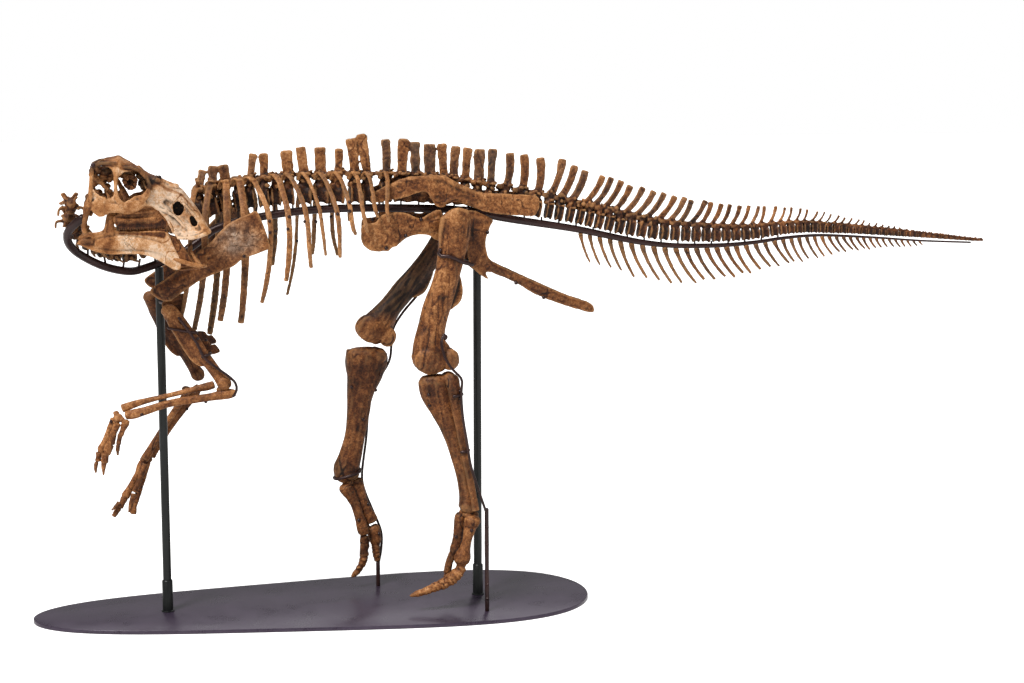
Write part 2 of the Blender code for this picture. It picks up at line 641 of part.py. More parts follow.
def make_skull():
    shells = [skull_shell()]
    for side in (LEFT, RIGHT):
        y = SKULL_Y + side * 0.076
        shells.append(loft([(-0.660, y, 1.272), (-0.670, y, 1.225), (-0.668, y, 1.206)],
                           [(0.017, 0.009), (0.011, 0.010), (0.007, 0.009)], 4))
        y = SKULL_Y + side * 0.046
        shells.append(loft([(-0.585, y, 1.226), (-0.525, y, 1.219), (-0.450, y, 1.213)],
                           [(0.024, 0.008), (0.026, 0.008), (0.020, 0.007)], 4))
    cutters = []
    for side in (LEFT, RIGHT):
        cutters.append(pocket(ORBIT, side, SEPTUM, 8))
        cutters.append(pocket(CHEEK_OPENING, side, SEPTUM + 0.010, 8))
    cutters.append(extrude([(x, SKULL_Y - 0.2, z) for x, z in oval(*NOSTRIL, count=8)],
                           (0, 0.4, 0)))
    hollow = [(-0.70, 1.19), (-0.44, 1.19), (-0.47, 1.225), (-0.62, 1.262), (-0.70, 1.262)]
    cutters.append(extrude([(x, SKULL_Y - 0.034, z) for x, z in hollow], (0, 0.068, 0)))
    piece("skull", "pale_bone", shells, cutters)


def make_eye_rings():
    """Rings of thin bone plates that sit in the orbits."""
    for side in (LEFT, RIGHT):
        x, z = -0.539, 1.350
        y = SKULL_Y + side * (SEPTUM + GAP)
        outer = extrude([(px, y, pz) for px, pz in
                         oval(x, z, EYE_RING_OUTER, EYE_RING_OUTER, 0, 8)], (0, side * 0.036, 0))
        inner = extrude([(px, y - side * 0.01, pz) for px, pz in
                         oval(x, z, EYE_RING_INNER, EYE_RING_INNER, 0, 8)], (0, side * 0.06, 0))
        piece("eye_ring_" + ("right" if side == LEFT else "left"), "pale_bone", [outer],
              [inner])


# Lower jaw: side view of one half, from the joint forwards, then back along its top
JAW_OUTLINE = (
    (-0.688, 1.168), (-0.645, 1.150), (-0.590, 1.141), (-0.520, 1.134), (-0.470, 1.122),
    (-0.424, 1.096), (-0.398, 1.100), (-0.404, 1.132), (-0.420, 1.160), (-0.452, 1.184),
    (-0.589, 1.190), (-0.591, 1.238), (-0.606, 1.243), (-0.622, 1.196), (-0.660, 1.190),
    (-0.686, 1.190),
)
PREDENTARY = ((-0.424, 1.094), (-0.385, 1.088), (-0.352, 1.100), (-0.362, 1.122),
              (-0.388, 1.150), (-0.404, 1.148), (-0.402, 1.120))


def jaw_y(side):
    def place(x, z):
        return SKULL_Y + side * table_at(((-0.69, 0.070), (-0.45, 0.036), (-0.40, 0.030)), x)
    return place


def make_mandible():
    shells = []
    for side in (LEFT, RIGHT):
        shells.append(slab(JAW_OUTLINE, jaw_y(side), 0.018))
    shells.append(slab(PREDENTARY, lambda x, z: SKULL_Y, 0.084))
    cutter = slab([(-0.44, 1.07), (-0.376, 1.07), (-0.376, 1.17), (-0.44, 1.17)],
                  lambda x, z: SKULL_Y, 0.040)
    piece("mandible", "pale_bone", shells, [cutter])


# ---------------------------------------------------------------- limbs
def limb_bone(profile, start, end, slim=1.0, bend=1.0, sides=6):
    """A long bone between two points.  Each row of the profile is (share of the length,
    shift forwards, half width seen from the side, half thickness)."""
    start, end = Vector(start), Vector(end)
    along = (end - start)
    forward = along.normalized().cross(Vector((0, 1, 0))).normalized()
    if forward.x > 0:
        forward = -forward
    path = [start + along * share + forward * shift * bend for share, shift, _, _ in profile]
    sizes = [(width * slim, thick) for _, _, width, thick in profile]
    return loft(path, sizes, sides)


FEMUR = ((0.00, -0.004, 0.022, 0.020), (0.05, -0.006, 0.046, 0.028), (0.16, -0.008, 0.048, 0.027),
         (0.30, -0.007, 0.042, 0.027), (0.45, 0.000, 0.040, 0.028), (0.60, 0.014, 0.043, 0.030),
         (0.74, 0.021, 0.044, 0.034), (0.82, 0.020, 0.054, 0.042), (0.89, 0.007, 0.074, 0.050),
         (0.95, 0.003, 0.066, 0.048), (1.00, 0.001, 0.036, 0.036))
TIBIA = {
    LEFT: ((0.00, 0.002, 0.046, 0.030), (0.04, 0.005, 0.060, 0.036), (0.12, 0.011, 0.055, 0.032),
           (0.24, 0.005, 0.042, 0.026), (0.42, -0.004, 0.030, 0.021), (0.70, -0.008, 0.023, 0.020),
           (0.86, -0.006, 0.025, 0.026), (0.95, -0.001, 0.029, 0.032), (1.00, 0.000, 0.022, 0.024)),
    RIGHT: ((0.00, 0.000, 0.052, 0.030), (0.06, -0.002, 0.068, 0.038), (0.17, -0.003, 0.060, 0.033),
            (0.33, 0.002, 0.043, 0.026), (0.50, -0.001, 0.036, 0.022), (0.66, -0.001, 0.033, 0.021),
            (0.82, 0.004, 0.037, 0.026), (0.93, 0.010, 0.043, 0.032), (1.00, -0.002, 0.028, 0.024)),
}
HUMERUS = ((0.00, 0.000, 0.014, 0.014), (0.06, 0.000, 0.024, 0.018), (0.30, 0.002, 0.030, 0.013),
           (0.50, 0.002, 0.027, 0.013), (0.62, 0.000, 0.019, 0.014), (0.86, 0.000, 0.019, 0.017),
           (0.95, 0.000, 0.024, 0.024), (1.00, 0.000, 0.014, 0.018))
# Each row: share of the length, distance behind the tibia's axis, distance outwards, half width
FIBULA = ((0.02, 0.042, 0.045, 0.016), (0.10, 0.040, 0.046, 0.014), (0.28, 0.032, 0.038, 0.010),
          (0.60, 0.027, 0.032, 0.009), (0.90, 0.023, 0.041, 0.011), (0.97, 0.016, 0.046, 0.012))
FEMUR_HEAD = {LEFT: 0.052, RIGHT: 0.036}  # how far the head stands in from the shaft's axis
# Hip, knee, ankle of each leg; shoulder, elbow, wrist of each arm
LEG = {
    LEFT: {"hip": (0.425, -0.112, 1.243), "knee": (0.347, -0.135, 0.753),
           "shin": (0.364, -0.135, 0.740), "ankle": (0.457, -0.155, 0.318)},
    RIGHT: {"hip": (0.476, 0.116, 1.195), "knee": (0.187, 0.135, 0.817),
            "shin": (0.184, 0.135, 0.788), "ankle": (0.120, 0.149, 0.368)},
}
ARM = {
    LEFT: {"shoulder": (-0.441, -0.128, 0.968), "elbow": (-0.271, -0.150, 0.730)},
    RIGHT: {"shoulder": (-0.488, 0.122, 0.980), "elbow": (-0.337, 0.145, 0.708)},
}


def make_femora():
    for side in (LEFT, RIGHT):
        hip, knee = Vector(LEG[side]["hip"]), Vector(LEG[side]["knee"])
        slim, bend = (1.0, 1.0) if side == LEFT else (0.85, 0.3)
        along = knee - hip
        shells = [limb_bone(FEMUR, hip, knee, slim, bend)]
        neck = hip + along * 0.07
        reach = FEMUR_HEAD[side]
        inward = Vector((0, -side, 0))
        shells.append(loft([neck, neck + inward * (reach - 0.018), neck + inward * reach],
                           [(0.025, 0.025), (0.024, 0.024), (0.013, 0.013)], 6,
                           across=(1, 0, 0)))
        back = Vector((-along.z, 0, along.x)).normalized()
        crest = [hip + along * t + back * b * slim for t, b in
                 ((0.36, 0.028), (0.41, 0.047), (0.52, 0.061), (0.58, 0.052), (0.62, 0.018))]
        crest = [point - Vector((0, side * 0.004 + 0.006, 0)) for point in crest]
        shells.append(extrude(crest, (0, 0.012, 0)))
        piece("femur_" + SIDE_NAMES[side], "bone" if side == LEFT else "dark_bone", shells)


def make_shins():
    for side in (LEFT, RIGHT):
        shin, ankle = Vector(LEG[side]["shin"]), Vector(LEG[side]["ankle"])
        piece("tibia_" + SIDE_NAMES[side], "bone", [limb_bone(TIBIA[side], shin, ankle)])
        along = ankle - shin
        back = Vector((-along.z, 0, along.x)).normalized()
        out = Vector((0, side, 0))
        path = [shin + along * t + back * b + out * y for t, b, y, _ in FIBULA]
        piece("fibula_" + SIDE_NAMES[side], "bone",
              [loft(path, [(w, w * 0.6) for _, _, _, w in FIBULA], 5)])


# Foot bones of each side: metatarsals with their toes, as points with a half width
FEET = {
    LEFT: (
        ((0.471, -0.174, 0.300, 0.020), (0.463, -0.174, 0.255, 0.016),
         (0.450, -0.174, 0.205, 0.015), (0.432, -0.172, 0.160, 0.026),
         (0.420, -0.172, 0.130, 0.021), (0.390, -0.172, 0.106, 0.018),
         (0.352, -0.170, 0.091, 0.014), (0.312, -0.168, 0.081, 0.011),
         (0.272, -0.166, 0.066, 0.004)),
        ((0.444, -0.146, 0.304, 0.019), (0.434, -0.146, 0.255, 0.018),
         (0.412, -0.144, 0.192, 0.016), (0.393, -0.142, 0.170, 0.013),
         (0.386, -0.140, 0.138, 0.012), (0.386, -0.136, 0.112, 0.009)),
        ((0.478, -0.126, 0.296, 0.014), (0.466, -0.124, 0.240, 0.012),
         (0.452, -0.120, 0.180, 0.015), (0.436, -0.118, 0.134, 0.012),
         (0.400, -0.114, 0.096, 0.010), (0.366, -0.112, 0.078, 0.004)),
    ),
    RIGHT: (
        ((0.112, 0.136, 0.352, 0.018), (0.134, 0.134, 0.300, 0.016),
         (0.160, 0.132, 0.240, 0.015), (0.172, 0.132, 0.196, 0.020),
         (0.167, 0.134, 0.172, 0.015), (0.166, 0.136, 0.130, 0.016),
         (0.160, 0.138, 0.096, 0.013), (0.144, 0.140, 0.066, 0.012),
         (0.124, 0.142, 0.048, 0.004)),
        ((0.138, 0.158, 0.356, 0.020), (0.158, 0.158, 0.300, 0.018),
         (0.180, 0.158, 0.240, 0.018), (0.196, 0.158, 0.186, 0.024),
         (0.203, 0.158, 0.156, 0.017), (0.208, 0.158, 0.130, 0.014),
         (0.212, 0.158, 0.100, 0.008)),
        ((0.128, 0.180, 0.350, 0.015), (0.150, 0.180, 0.290, 0.013),
         (0.176, 0.182, 0.220, 0.014), (0.184, 0.182, 0.176, 0.015),
         (0.180, 0.184, 0.140, 0.012), (0.166, 0.186, 0.104, 0.004)),
    ),
}


def chain(rows, flat=0.9, sides=6):
    path = [row[:3] for row in rows]
    return loft(path, [(row[3], row[3] * flat) for row in rows], sides)


def make_feet():
    for side in (LEFT, RIGHT):
        shells = [chain(rows, sides=5 if side == RIGHT else 4) for rows in FEET[side]]
        tops = [Vector(rows[0][:3]) for rows in FEET[side]]
        tops.sort(key=lambda point: point.y)
        down = Vector((0, 0, -0.012))
        shells.append(loft([tops[0] + down, tops[1] + down, tops[2] + down],
                           [(0.010, 0.011)] * 3, 4, across=(1, 0, 0)))
        piece("foot_" + SIDE_NAMES[side], "bone", shells)


def make_arms():
    for side in (LEFT, RIGHT):
        name = SIDE_NAMES[side]
        shoulder, elbow = Vector(ARM[side]["shoulder"]), Vector(ARM[side]["elbow"])
        piece("humerus_" + name, "bone", [limb_bone(HUMERUS, shoulder, elbow)])
        piece("ulna_" + name, "bone", [chain(ULNA[side], 0.8, 5)])
        piece("radius_" + name, "bone", [chain(RADIUS[side], 0.8, 5)])
        piece("hand_" + name, "bone", [chain(rows, 0.9, 4) for rows in HANDS[side]])


ULNA = {
    LEFT: ((-0.250, -0.158, 0.712, 0.010), (-0.278, -0.156, 0.706, 0.014),
           (-0.340, -0.154, 0.694, 0.012), (-0.420, -0.150, 0.684, 0.011),
           (-0.500, -0.144, 0.669, 0.012), (-0.556, -0.140, 0.657, 0.014),
           (-0.574, -0.138, 0.653, 0.011)),
    RIGHT: ((-0.342, 0.152, 0.684, 0.010), (-0.356, 0.151, 0.664, 0.017),
            (-0.395, 0.148, 0.612, 0.013), (-0.438, 0.142, 0.555, 0.011),
            (-0.474, 0.137, 0.505, 0.012), (-0.492, 0.134, 0.474, 0.012)),
}
RADIUS = {
    LEFT: ((-0.311, -0.138, 0.741, 0.010), (-0.336, -0.137, 0.734, 0.011),
           (-0.400, -0.135, 0.719, 0.008), (-0.480, -0.132, 0.701, 0.008),
           (-0.550, -0.130, 0.686, 0.010), (-0.576, -0.129, 0.679, 0.010)),
    RIGHT: ((-0.376, 0.124, 0.676, 0.011), (-0.392, 0.123, 0.652, 0.011),
            (-0.430, 0.121, 0.600, 0.009), (-0.470, 0.118, 0.540, 0.009),
            (-0.500, 0.117, 0.490, 0.011), (-0.508, 0.116, 0.474, 0.010)),
}
HANDS = {
    LEFT: (
        ((-0.596, -0.134, 0.662, 0.012), (-0.602, -0.134, 0.640, 0.018),
         (-0.616, -0.134, 0.600, 0.011), (-0.634, -0.133, 0.556, 0.012),
         (-0.644, -0.132, 0.532, 0.010), (-0.650, -0.131, 0.510, 0.009),
         (-0.662, -0.130, 0.480, 0.004)),
        ((-0.598, -0.146, 0.644, 0.012), (-0.606, -0.150, 0.605, 0.009),
         (-0.622, -0.152, 0.556, 0.011), (-0.632, -0.152, 0.528, 0.009),
         (-0.636, -0.152, 0.505, 0.009), (-0.642, -0.152, 0.476, 0.004)),
        ((-0.596, -0.122, 0.648, 0.011), (-0.602, -0.114, 0.606, 0.008),
         (-0.616, -0.110, 0.562, 0.009), (-0.622, -0.108, 0.536, 0.005)),
        ((-0.592, -0.148, 0.640, 0.010), (-0.576, -0.156, 0.618, 0.010),
         (-0.588, -0.158, 0.590, 0.008), (-0.592, -0.160, 0.570, 0.008),
         (-0.597, -0.160, 0.548, 0.005)),
    ),
    RIGHT: (
        ((-0.504, 0.128, 0.462, 0.019), (-0.516, 0.128, 0.440, 0.015),
         (-0.540, 0.128, 0.392, 0.010), (-0.570, 0.126, 0.348, 0.011),
         (-0.602, 0.124, 0.324, 0.008), (-0.622, 0.122, 0.308, 0.004)),
        ((-0.506, 0.136, 0.452, 0.014), (-0.524, 0.142, 0.420, 0.009),
         (-0.538, 0.142, 0.372, 0.010), (-0.556, 0.142, 0.336, 0.009),
         (-0.588, 0.140, 0.312, 0.008), (-0.604, 0.138, 0.288, 0.004)),
        ((-0.508, 0.118, 0.452, 0.012), (-0.520, 0.110, 0.410, 0.008),
         (-0.536, 0.108, 0.360, 0.009), (-0.546, 0.106, 0.330, 0.008),
         (-0.556, 0.106, 0.294, 0.004)),
    ),
}


# ---------------------------------------------------------------- girdles
SCAPULA_OUTLINE = (
    (-0.313, 1.160), (-0.259, 1.215), (-0.204, 1.241), (-0.177, 1.252), (-0.160, 1.220),
    (-0.138, 1.149), (-0.147, 1.137), (-0.218, 1.111), (-0.250, 1.088), (-0.315, 1.062),
    (-0.379, 1.031), (-0.409, 1.007), (-0.432, 0.990), (-0.462, 0.994), (-0.489, 1.022),
    (-0.445, 1.055), (-0.386, 1.099), (-0.351, 1.134),
)
CORACOID_OUTLINE = ((-0.452, 0.984), (-0.420, 0.997), (-0.388, 1.004), (-0.386, 0.960),
                    (-0.404, 0.950), (-0.450, 0.962))
STERNAL_OUTLINE = ((-0.358, 0.858), (-0.326, 0.864), (-0.313, 0.850), (-0.302, 0.852),
                   (-0.288, 0.828), (-0.334, 0.822))
ILIUM_THICKNESS = 0.013
ILIUM_OUTLINE = (
    (0.175, 1.274), (0.182, 1.292), (0.233, 1.319), (0.280, 1.337), (0.326, 1.343),
    (0.396, 1.342), (0.430, 1.323), (0.501, 1.292), (0.552, 1.287), (0.609, 1.283),
    (0.688, 1.273), (0.681, 1.221), (0.633, 1.218), (0.538, 1.228), (0.505, 1.238),
    (0.467, 1.253), (0.420, 1.263), (0.392, 1.247), (0.368, 1.255), (0.345, 1.292),
    (0.317, 1.292), (0.279, 1.279), (0.186, 1.264),
)
PUBIS_OUTLINE = (
    (0.136, 1.203), (0.160, 1.212), (0.197, 1.223), (0.215, 1.235), (0.251, 1.239),
    (0.297, 1.222), (0.324, 1.215), (0.355, 1.227), (0.386, 1.243), (0.392, 1.160),
    (0.364, 1.157), (0.318, 1.170), (0.287, 1.167), (0.251, 1.141), (0.211, 1.117),
    (0.156, 1.122), (0.136, 1.150),
)
ISCHIUM_OUTLINE = (
    (0.462, 1.234), (0.546, 1.209), (0.539, 1.181), (0.527, 1.145), (0.529, 1.111),
    (0.548, 1.078), (0.635, 1.033), (0.781, 0.966), (0.862, 0.937), (0.880, 0.920),
    (0.862, 0.906), (0.708, 0.960), (0.635, 1.001), (0.563, 1.040), (0.530, 1.030),
    (0.500, 1.046), (0.478, 1.070), (0.466, 1.120),
)


def ilium_y(x, z):
    """Distance of the ilium's middle surface from the middle plane."""
    return table_at(((0.175, 0.052), (0.350, 0.064), (0.690, 0.060)), x) + (1.343 - z) * 0.10


def scapula_y(x, z):
    return table_at(((-0.490, 0.136), (-0.138, 0.160)), x)


def pubis_y(x, z):
    return table_at(((0.136, 0.104), (0.330, 0.086), (0.392, 0.074)), x)


def ischium_y(x, z):
    return table_at(((0.462, 0.076), (0.560, 0.056), (0.880, 0.014)), x)


def make_girdles():
    plates = (
        ("scapula", SCAPULA_OUTLINE, scapula_y, 0.009, "pale_bone", -0.012),
        ("coracoid", CORACOID_OUTLINE, lambda x, z: 0.097, 0.016, "bone", -0.012),
        ("sternal_plate", STERNAL_OUTLINE, lambda x, z: 0.097, 0.009, "dark_bone", 0.000),
        ("ilium", ILIUM_OUTLINE, ilium_y, ILIUM_THICKNESS, "bone", 0.000),
        ("pubis", PUBIS_OUTLINE, pubis_y, 0.011, "bone", 0.026),
        ("ischium", ISCHIUM_OUTLINE, ischium_y, 0.011, "bone", 0.003),
    )
    for name, outline, place, thickness, finish, right_shift in plates:
        for side in (LEFT, RIGHT):
            shift = right_shift if side == RIGHT else 0.0
            shell = slab([(x + shift, z) for x, z in outline],
                         lambda x, z: side * place(x - shift, z), thickness)
            piece(name + "_" + SIDE_NAMES[side], finish, [shell])


# ---------------------------------------------------------------- wires
# Each wire or rod of the stand: its lengths, each a radius and the points it runs through
WIRES = {
    "stand_leg_rod_left": (
        (FOOT_ROD_RADIUS, ((0.504, -0.195, 0.0125), (0.503, -0.195, 0.332))),
        (WIRE_RADIUS, ((0.503, -0.196, 0.318), (0.481, -0.206, 0.380), (0.455, -0.204, 0.490),
                       (0.438, -0.198, 0.600), (0.431, -0.200, 0.700), (0.424, -0.202, 0.748),
                       (0.400, -0.200, 0.785), (0.382, -0.186, 0.835), (0.376, -0.172, 0.868))),
    ),
    "stand_leg_rod_right": (
        (FOOT_ROD_RADIUS, ((0.214, 0.158, 0.0125), (0.214, 0.158, 0.088))),
        (WIRE_RADIUS, ((0.214, 0.163, 0.076), (0.226, 0.170, 0.130), (0.226, 0.168, 0.190),
                       (0.199, 0.168, 0.262), (0.173, 0.162, 0.330), (0.166, 0.158, 0.385),
                       (0.180, 0.154, 0.500), (0.190, 0.154, 0.600), (0.218, 0.151, 0.680),
                       (0.254, 0.144, 0.745), (0.274, 0.142, 0.800), (0.284, 0.140, 0.850),
                       (0.314, 0.138, 0.900), (0.350, 0.134, 0.945))),
    ),
    "stand_arm_wire_left": (
        (WIRE_RADIUS, ((-0.405, -0.152, 0.935), (-0.380, -0.158, 0.880), (-0.335, -0.166, 0.820),
                       (-0.272, -0.178, 0.775), (-0.244, -0.180, 0.735), (-0.252, -0.178, 0.700))),
    ),
    "stand_femur_strap": (
        (0.0055, ((0.352, -0.158, 1.114), (0.405, -0.160, 1.098), (0.448, -0.150, 1.080),
                  (0.474, -0.124, 1.076))),
    ),
    "stand_hip_bar_left": (
        (0.0050, ((0.4950, -0.004, 1.074), (0.470, -0.040, 1.080), (0.448, -0.088, 1.088))),
    ),
    "stand_hip_bar_right": (
        (0.0050, ((0.4960, 0.004, 1.106), (0.470, 0.038, 1.110), (0.440, 0.076, 1.118))),
    ),
    "stand_shoulder_bar_left": (
        (0.0055, ((-0.4580, -0.0140, 0.972), (-0.440, -0.0868, 0.974))),
    ),
    "stand_shoulder_bar_right": (
        (0.0055, ((-0.4580, 0.0140, 0.972), (-0.448, 0.0868, 0.974))),
    ),
}


def make_wires():
    for name, lengths in WIRES.items():
        shells = [rod(points, radius, 8 if radius > 0.006 else 4) for radius, points in lengths]
        piece(name, "steel", shells)


def clear_scene():
    for obj in list(bpy.data.objects):
        bpy.data.objects.remove(obj)


def main():
    clear_scene()
    make_base()
    make_posts()
    make_armature()
    make_tail()
    make_sacrum()
    make_trunk()
    make_neck()
    make_skull()
    make_eye_rings()
    make_mandible()
    make_girdles()
    make_femora()
    make_shins()
    make_feet()
    make_arms()
    make_wires()


main()
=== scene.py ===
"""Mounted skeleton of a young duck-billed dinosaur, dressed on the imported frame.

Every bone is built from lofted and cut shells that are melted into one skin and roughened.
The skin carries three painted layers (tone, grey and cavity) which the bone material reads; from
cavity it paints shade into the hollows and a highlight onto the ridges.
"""
import math
import bpy
import numpy as np
from mathutils import Matrix, Vector, geometry, kdtree


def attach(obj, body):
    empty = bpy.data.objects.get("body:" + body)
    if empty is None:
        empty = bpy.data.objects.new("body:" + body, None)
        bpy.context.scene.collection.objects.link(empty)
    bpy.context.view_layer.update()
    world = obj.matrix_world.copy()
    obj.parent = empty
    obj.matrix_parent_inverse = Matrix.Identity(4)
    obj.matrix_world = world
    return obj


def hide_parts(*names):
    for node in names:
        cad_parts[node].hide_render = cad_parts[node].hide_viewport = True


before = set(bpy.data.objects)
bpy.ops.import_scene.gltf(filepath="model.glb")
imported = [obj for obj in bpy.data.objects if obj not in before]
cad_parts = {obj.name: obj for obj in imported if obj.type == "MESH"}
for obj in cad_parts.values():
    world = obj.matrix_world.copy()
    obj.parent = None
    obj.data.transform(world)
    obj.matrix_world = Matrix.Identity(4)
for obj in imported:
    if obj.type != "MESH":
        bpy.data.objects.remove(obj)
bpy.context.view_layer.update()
COARSE = 1.0
LEFT, RIGHT = -1, 1
SIDE_NAMES = {LEFT: "left", RIGHT: "right"}
dice = np.random.default_rng(11)


# ------------------------------------------------------------------ numbers along a line
def milli(table):
    """A table written in thousandths: millimetres for places and sizes, and thousandths for
    tones, greys and shares of a length."""
    if isinstance(table, dict):
        return {key: milli(value) for key, value in table.items()}
    if isinstance(table, tuple):
        return tuple(milli(value) for value in table)
    return table if isinstance(table, str) else table / 1000


def at(table, x):
    """The second column of a table at x, on straight lines between its rows."""
    rows = np.asarray(table, float)
    return np.interp(x, rows[:, 0], rows[:, 1])


def curve(rows, step):
    """Smooth rows of numbers (the first three are a place) on a Catmull-Rom curve."""
    rows = np.asarray(rows, float)
    if len(rows) == 2:
        count = max(2, int(np.linalg.norm(rows[1, :3] - rows[0, :3]) / step) + 1)
        return rows[0] + (rows[1] - rows[0]) * np.linspace(0, 1, count)[:, None]
    padded = np.vstack([2 * rows[0] - rows[1], rows, 2 * rows[-1] - rows[-2]])
    out = []
    for i in range(1, len(padded) - 2):
        a, b, c, d = padded[i - 1:i + 3]
        count = max(1, int(np.linalg.norm(c[:3] - b[:3]) / step))
        for t in np.arange(count) / count:
            out.append(0.5 * (2 * b + (c - a) * t + (2 * a - 5 * b + 4 * c - d) * t * t
                              + (3 * b - 3 * c + d - a) * t ** 3))
    out.append(padded[-2])
    return np.array(out)


def spread(rows, x, column):
    """One column of a table, on a smooth curve through its rows."""
    rows = np.asarray(rows, float)
    xs, ys = rows[:, 0], rows[:, column]
    slopes = np.gradient(ys, xs)
    x = np.clip(x, xs[0], xs[-1])
    i = np.clip(np.searchsorted(xs, x) - 1, 0, len(xs) - 2)
    step = xs[i + 1] - xs[i]
    t = (x - xs[i]) / step
    rise = slopes[i] * step * t * (1 - t) ** 2 - slopes[i + 1] * step * t * t * (1 - t)
    return ys[i] + (ys[i + 1] - ys[i]) * t * t * (3 - 2 * t) + rise


def lumps(points, size, seed=0):
    """Smooth noise from -1 to 1 with features about size across."""
    place = points / size + 31.7 * (seed + 1)
    cell = np.floor(place).astype(np.int64)
    part = place - cell
    part = part * part * (3 - 2 * part)
    total = np.zeros(len(points))
    for corner in range(8):
        off = np.array([(corner >> k) & 1 for k in range(3)])
        c = cell + off
        mixed = (c[:, 0] * 73856093) ^ (c[:, 1] * 19349663) ^ (c[:, 2] * 83492791)
        mixed = ((mixed ^ (mixed >> 11)) * 1274126177) & 0x7fffffff
        mixed = (mixed ^ (mixed >> 15)) & 0xffff
        total += (mixed / 32767.5 - 1) * np.prod(np.where(off, part, 1 - part), axis=1)
    return total


# ------------------------------------------------------------------ shells
# A shell is (points, faces, tone, grey): a closed surface and the shade of that bone
def loft(rows, across=(0, 1, 0), sides=12, step=0.006, power=2.3, tone=0.5, grey=0.0,
         cap=0.35):
    """A tube through rows of (x, y, z, half size square to across, half size along it)."""
    rows = [tuple(row) + (row[3],) if len(row) == 4 else row for row in rows]
    rows = curve(rows, step)
    rows[:, 3:] = np.maximum(rows[:, 3:], 0.0004)
    ahead = np.gradient(rows[:, :3], axis=0)
    ahead /= np.linalg.norm(ahead, axis=1)[:, None]
    ends = []
    for end, way in ((0, -1), (-1, 1)):
        reach = cap * min(rows[end, 3:5])
        rings = []
        for s in (0.5, 0.85, 0.985):
            ring = rows[end].copy()
            ring[:3] += ahead[end] * way * reach * s
            ring[3:] *= math.sqrt(1 - s * s)
            rings.append(ring)
        ends.append(rings if way > 0 else rings[::-1])
    rows = np.vstack([ends[0], rows, ends[1]])
    ahead = np.vstack([ahead[:1]] * 3 + [ahead] + [ahead[-1:]] * 3)
    side = np.asarray(across, float) - ahead * (ahead @ np.asarray(across, float))[:, None]
    side /= np.linalg.norm(side, axis=1)[:, None]
    up = np.cross(ahead, side)
    angle = 2 * np.pi * (np.arange(sides) + 0.5) / sides
    c, s = np.cos(angle), np.sin(angle)
    r = (np.abs(c) ** power + np.abs(s) ** power) ** (-1 / power)
    points = (rows[:, None, :3] + up[:, None] * (rows[:, 3, None] * (c * r))[..., None]
              + side[:, None] * (rows[:, 4, None] * (s * r))[..., None]).reshape(-1, 3)
    faces = []
    for i in range(len(rows) - 1):
        for k in range(sides):
            a, b = i * sides + k, i * sides + (k + 1) % sides
            faces.append((a, b, b + sides, a + sides))
    faces.append(tuple(range(sides))[::-1])
    faces.append(tuple(range(len(points) - sides, len(points))))
    return points, faces, tone, grey


def blob(centre, sizes, turn=(0, 0, 0), tone=0.5, grey=0.0, rings=8, sides=12):
    """An egg-shaped lump; turn is in degrees about X, Y and Z."""
    lat = np.pi * (np.arange(1, rings)) / rings
    lon = 2 * np.pi * np.arange(sides) / sides
    grid = np.array([(math.sin(a) * math.cos(b), math.sin(a) * math.sin(b), math.cos(a))
                     for a in lat for b in lon] + [(0, 0, 1), (0, 0, -1)])
    spin = np.array((Matrix.Rotation(math.radians(turn[2]), 3, "Z")
                     @ Matrix.Rotation(math.radians(turn[1]), 3, "Y")
                     @ Matrix.Rotation(math.radians(turn[0]), 3, "X")))
    points = (grid * sizes) @ spin.T + centre
    faces = []
    for i in range(rings - 2):
        for k in range(sides):
            a, b = i * sides + k, i * sides + (k + 1) % sides
            faces.append((a, a + sides, b + sides, b))
    top, low = len(points) - 2, len(points) - 1
    for k in range(sides):
        faces.append((top, k, (k + 1) % sides))
        base = (rings - 2) * sides
        faces.append((low, base + (k + 1) % sides, base + k))
    return points, faces, tone, grey


def outline(points, step=0.006):
    """A closed smooth outline through the given corners, seen from the side."""
    rows = np.array([(x, 0.0, z) for x, z in points])
    ring = np.vstack([rows[-1:], rows, rows[:2]])
    smooth = curve(ring, step)
    first = np.argmin(np.abs(smooth - rows[0]).sum(axis=1))
    last = len(smooth) - 1 - np.argmin(np.abs(smooth[::-1] - rows[0]).sum(axis=1))
    return smooth[first:last, [0, 2]]


def plate(points, thickness, tone=0.5, grey=0.0, y=0.0, step=0.006, smooth=True):
    """A flat plate in the plane y, later bent to its place."""
    ring = outline(points, step) if smooth else np.array(points, float)
    count = len(ring)
    low = np.c_[ring[:, 0], np.full(count, y - thickness / 2), ring[:, 1]]
    high = low + (0, thickness, 0)
    tris = geometry.tessellate_polygon([[Vector(p) for p in low]])
    area = sum((low[b][0] - low[a][0]) * (low[c][2] - low[a][2])
               - (low[c][0] - low[a][0]) * (low[b][2] - low[a][2]) for a, b, c in tris)
    turned = [t if area > 0 else t[::-1] for t in tris]
    around = np.sum(ring[:, 0] * np.roll(ring[:, 1], -1) - ring[:, 1] * np.roll(ring[:, 0], -1))
    faces = [tuple(t) for t in turned] + [tuple(i + count for i in t[::-1]) for t in turned]
    for k in range(count):
        a, b = k, (k + 1) % count
        faces.append((b, a, a + count, b + count) if around > 0 else (a, b, b + count, a + count))
    return np.vstack([low, high]), faces, tone, grey


def inside(points, ring):
    """Which of the points (x, z) lie inside a closed outline."""
    hit = np.zeros(len(points), bool)
    x, z = points[:, 0], points[:, 1]
    for (ax, az), (bx, bz) in zip(ring, np.roll(ring, -1, axis=0)):
        crosses = (az > z) != (bz > z)
        hit ^= crosses & (x < (bx - ax) * (z - az) / (bz - az + 1e-12) + ax)
    return hit


def shifted(shell, amount):
    """The shell moved by (x, y, z)."""
    points, faces, tone, grey = shell
    return points + np.asarray(amount), faces, tone, grey


# ------------------------------------------------------------------ skins
def mesh_from(name, points, faces):
    mesh = bpy.data.meshes.new(name)
    mesh.from_pydata(points.tolist(), [], faces)
    mesh.update()
    return mesh


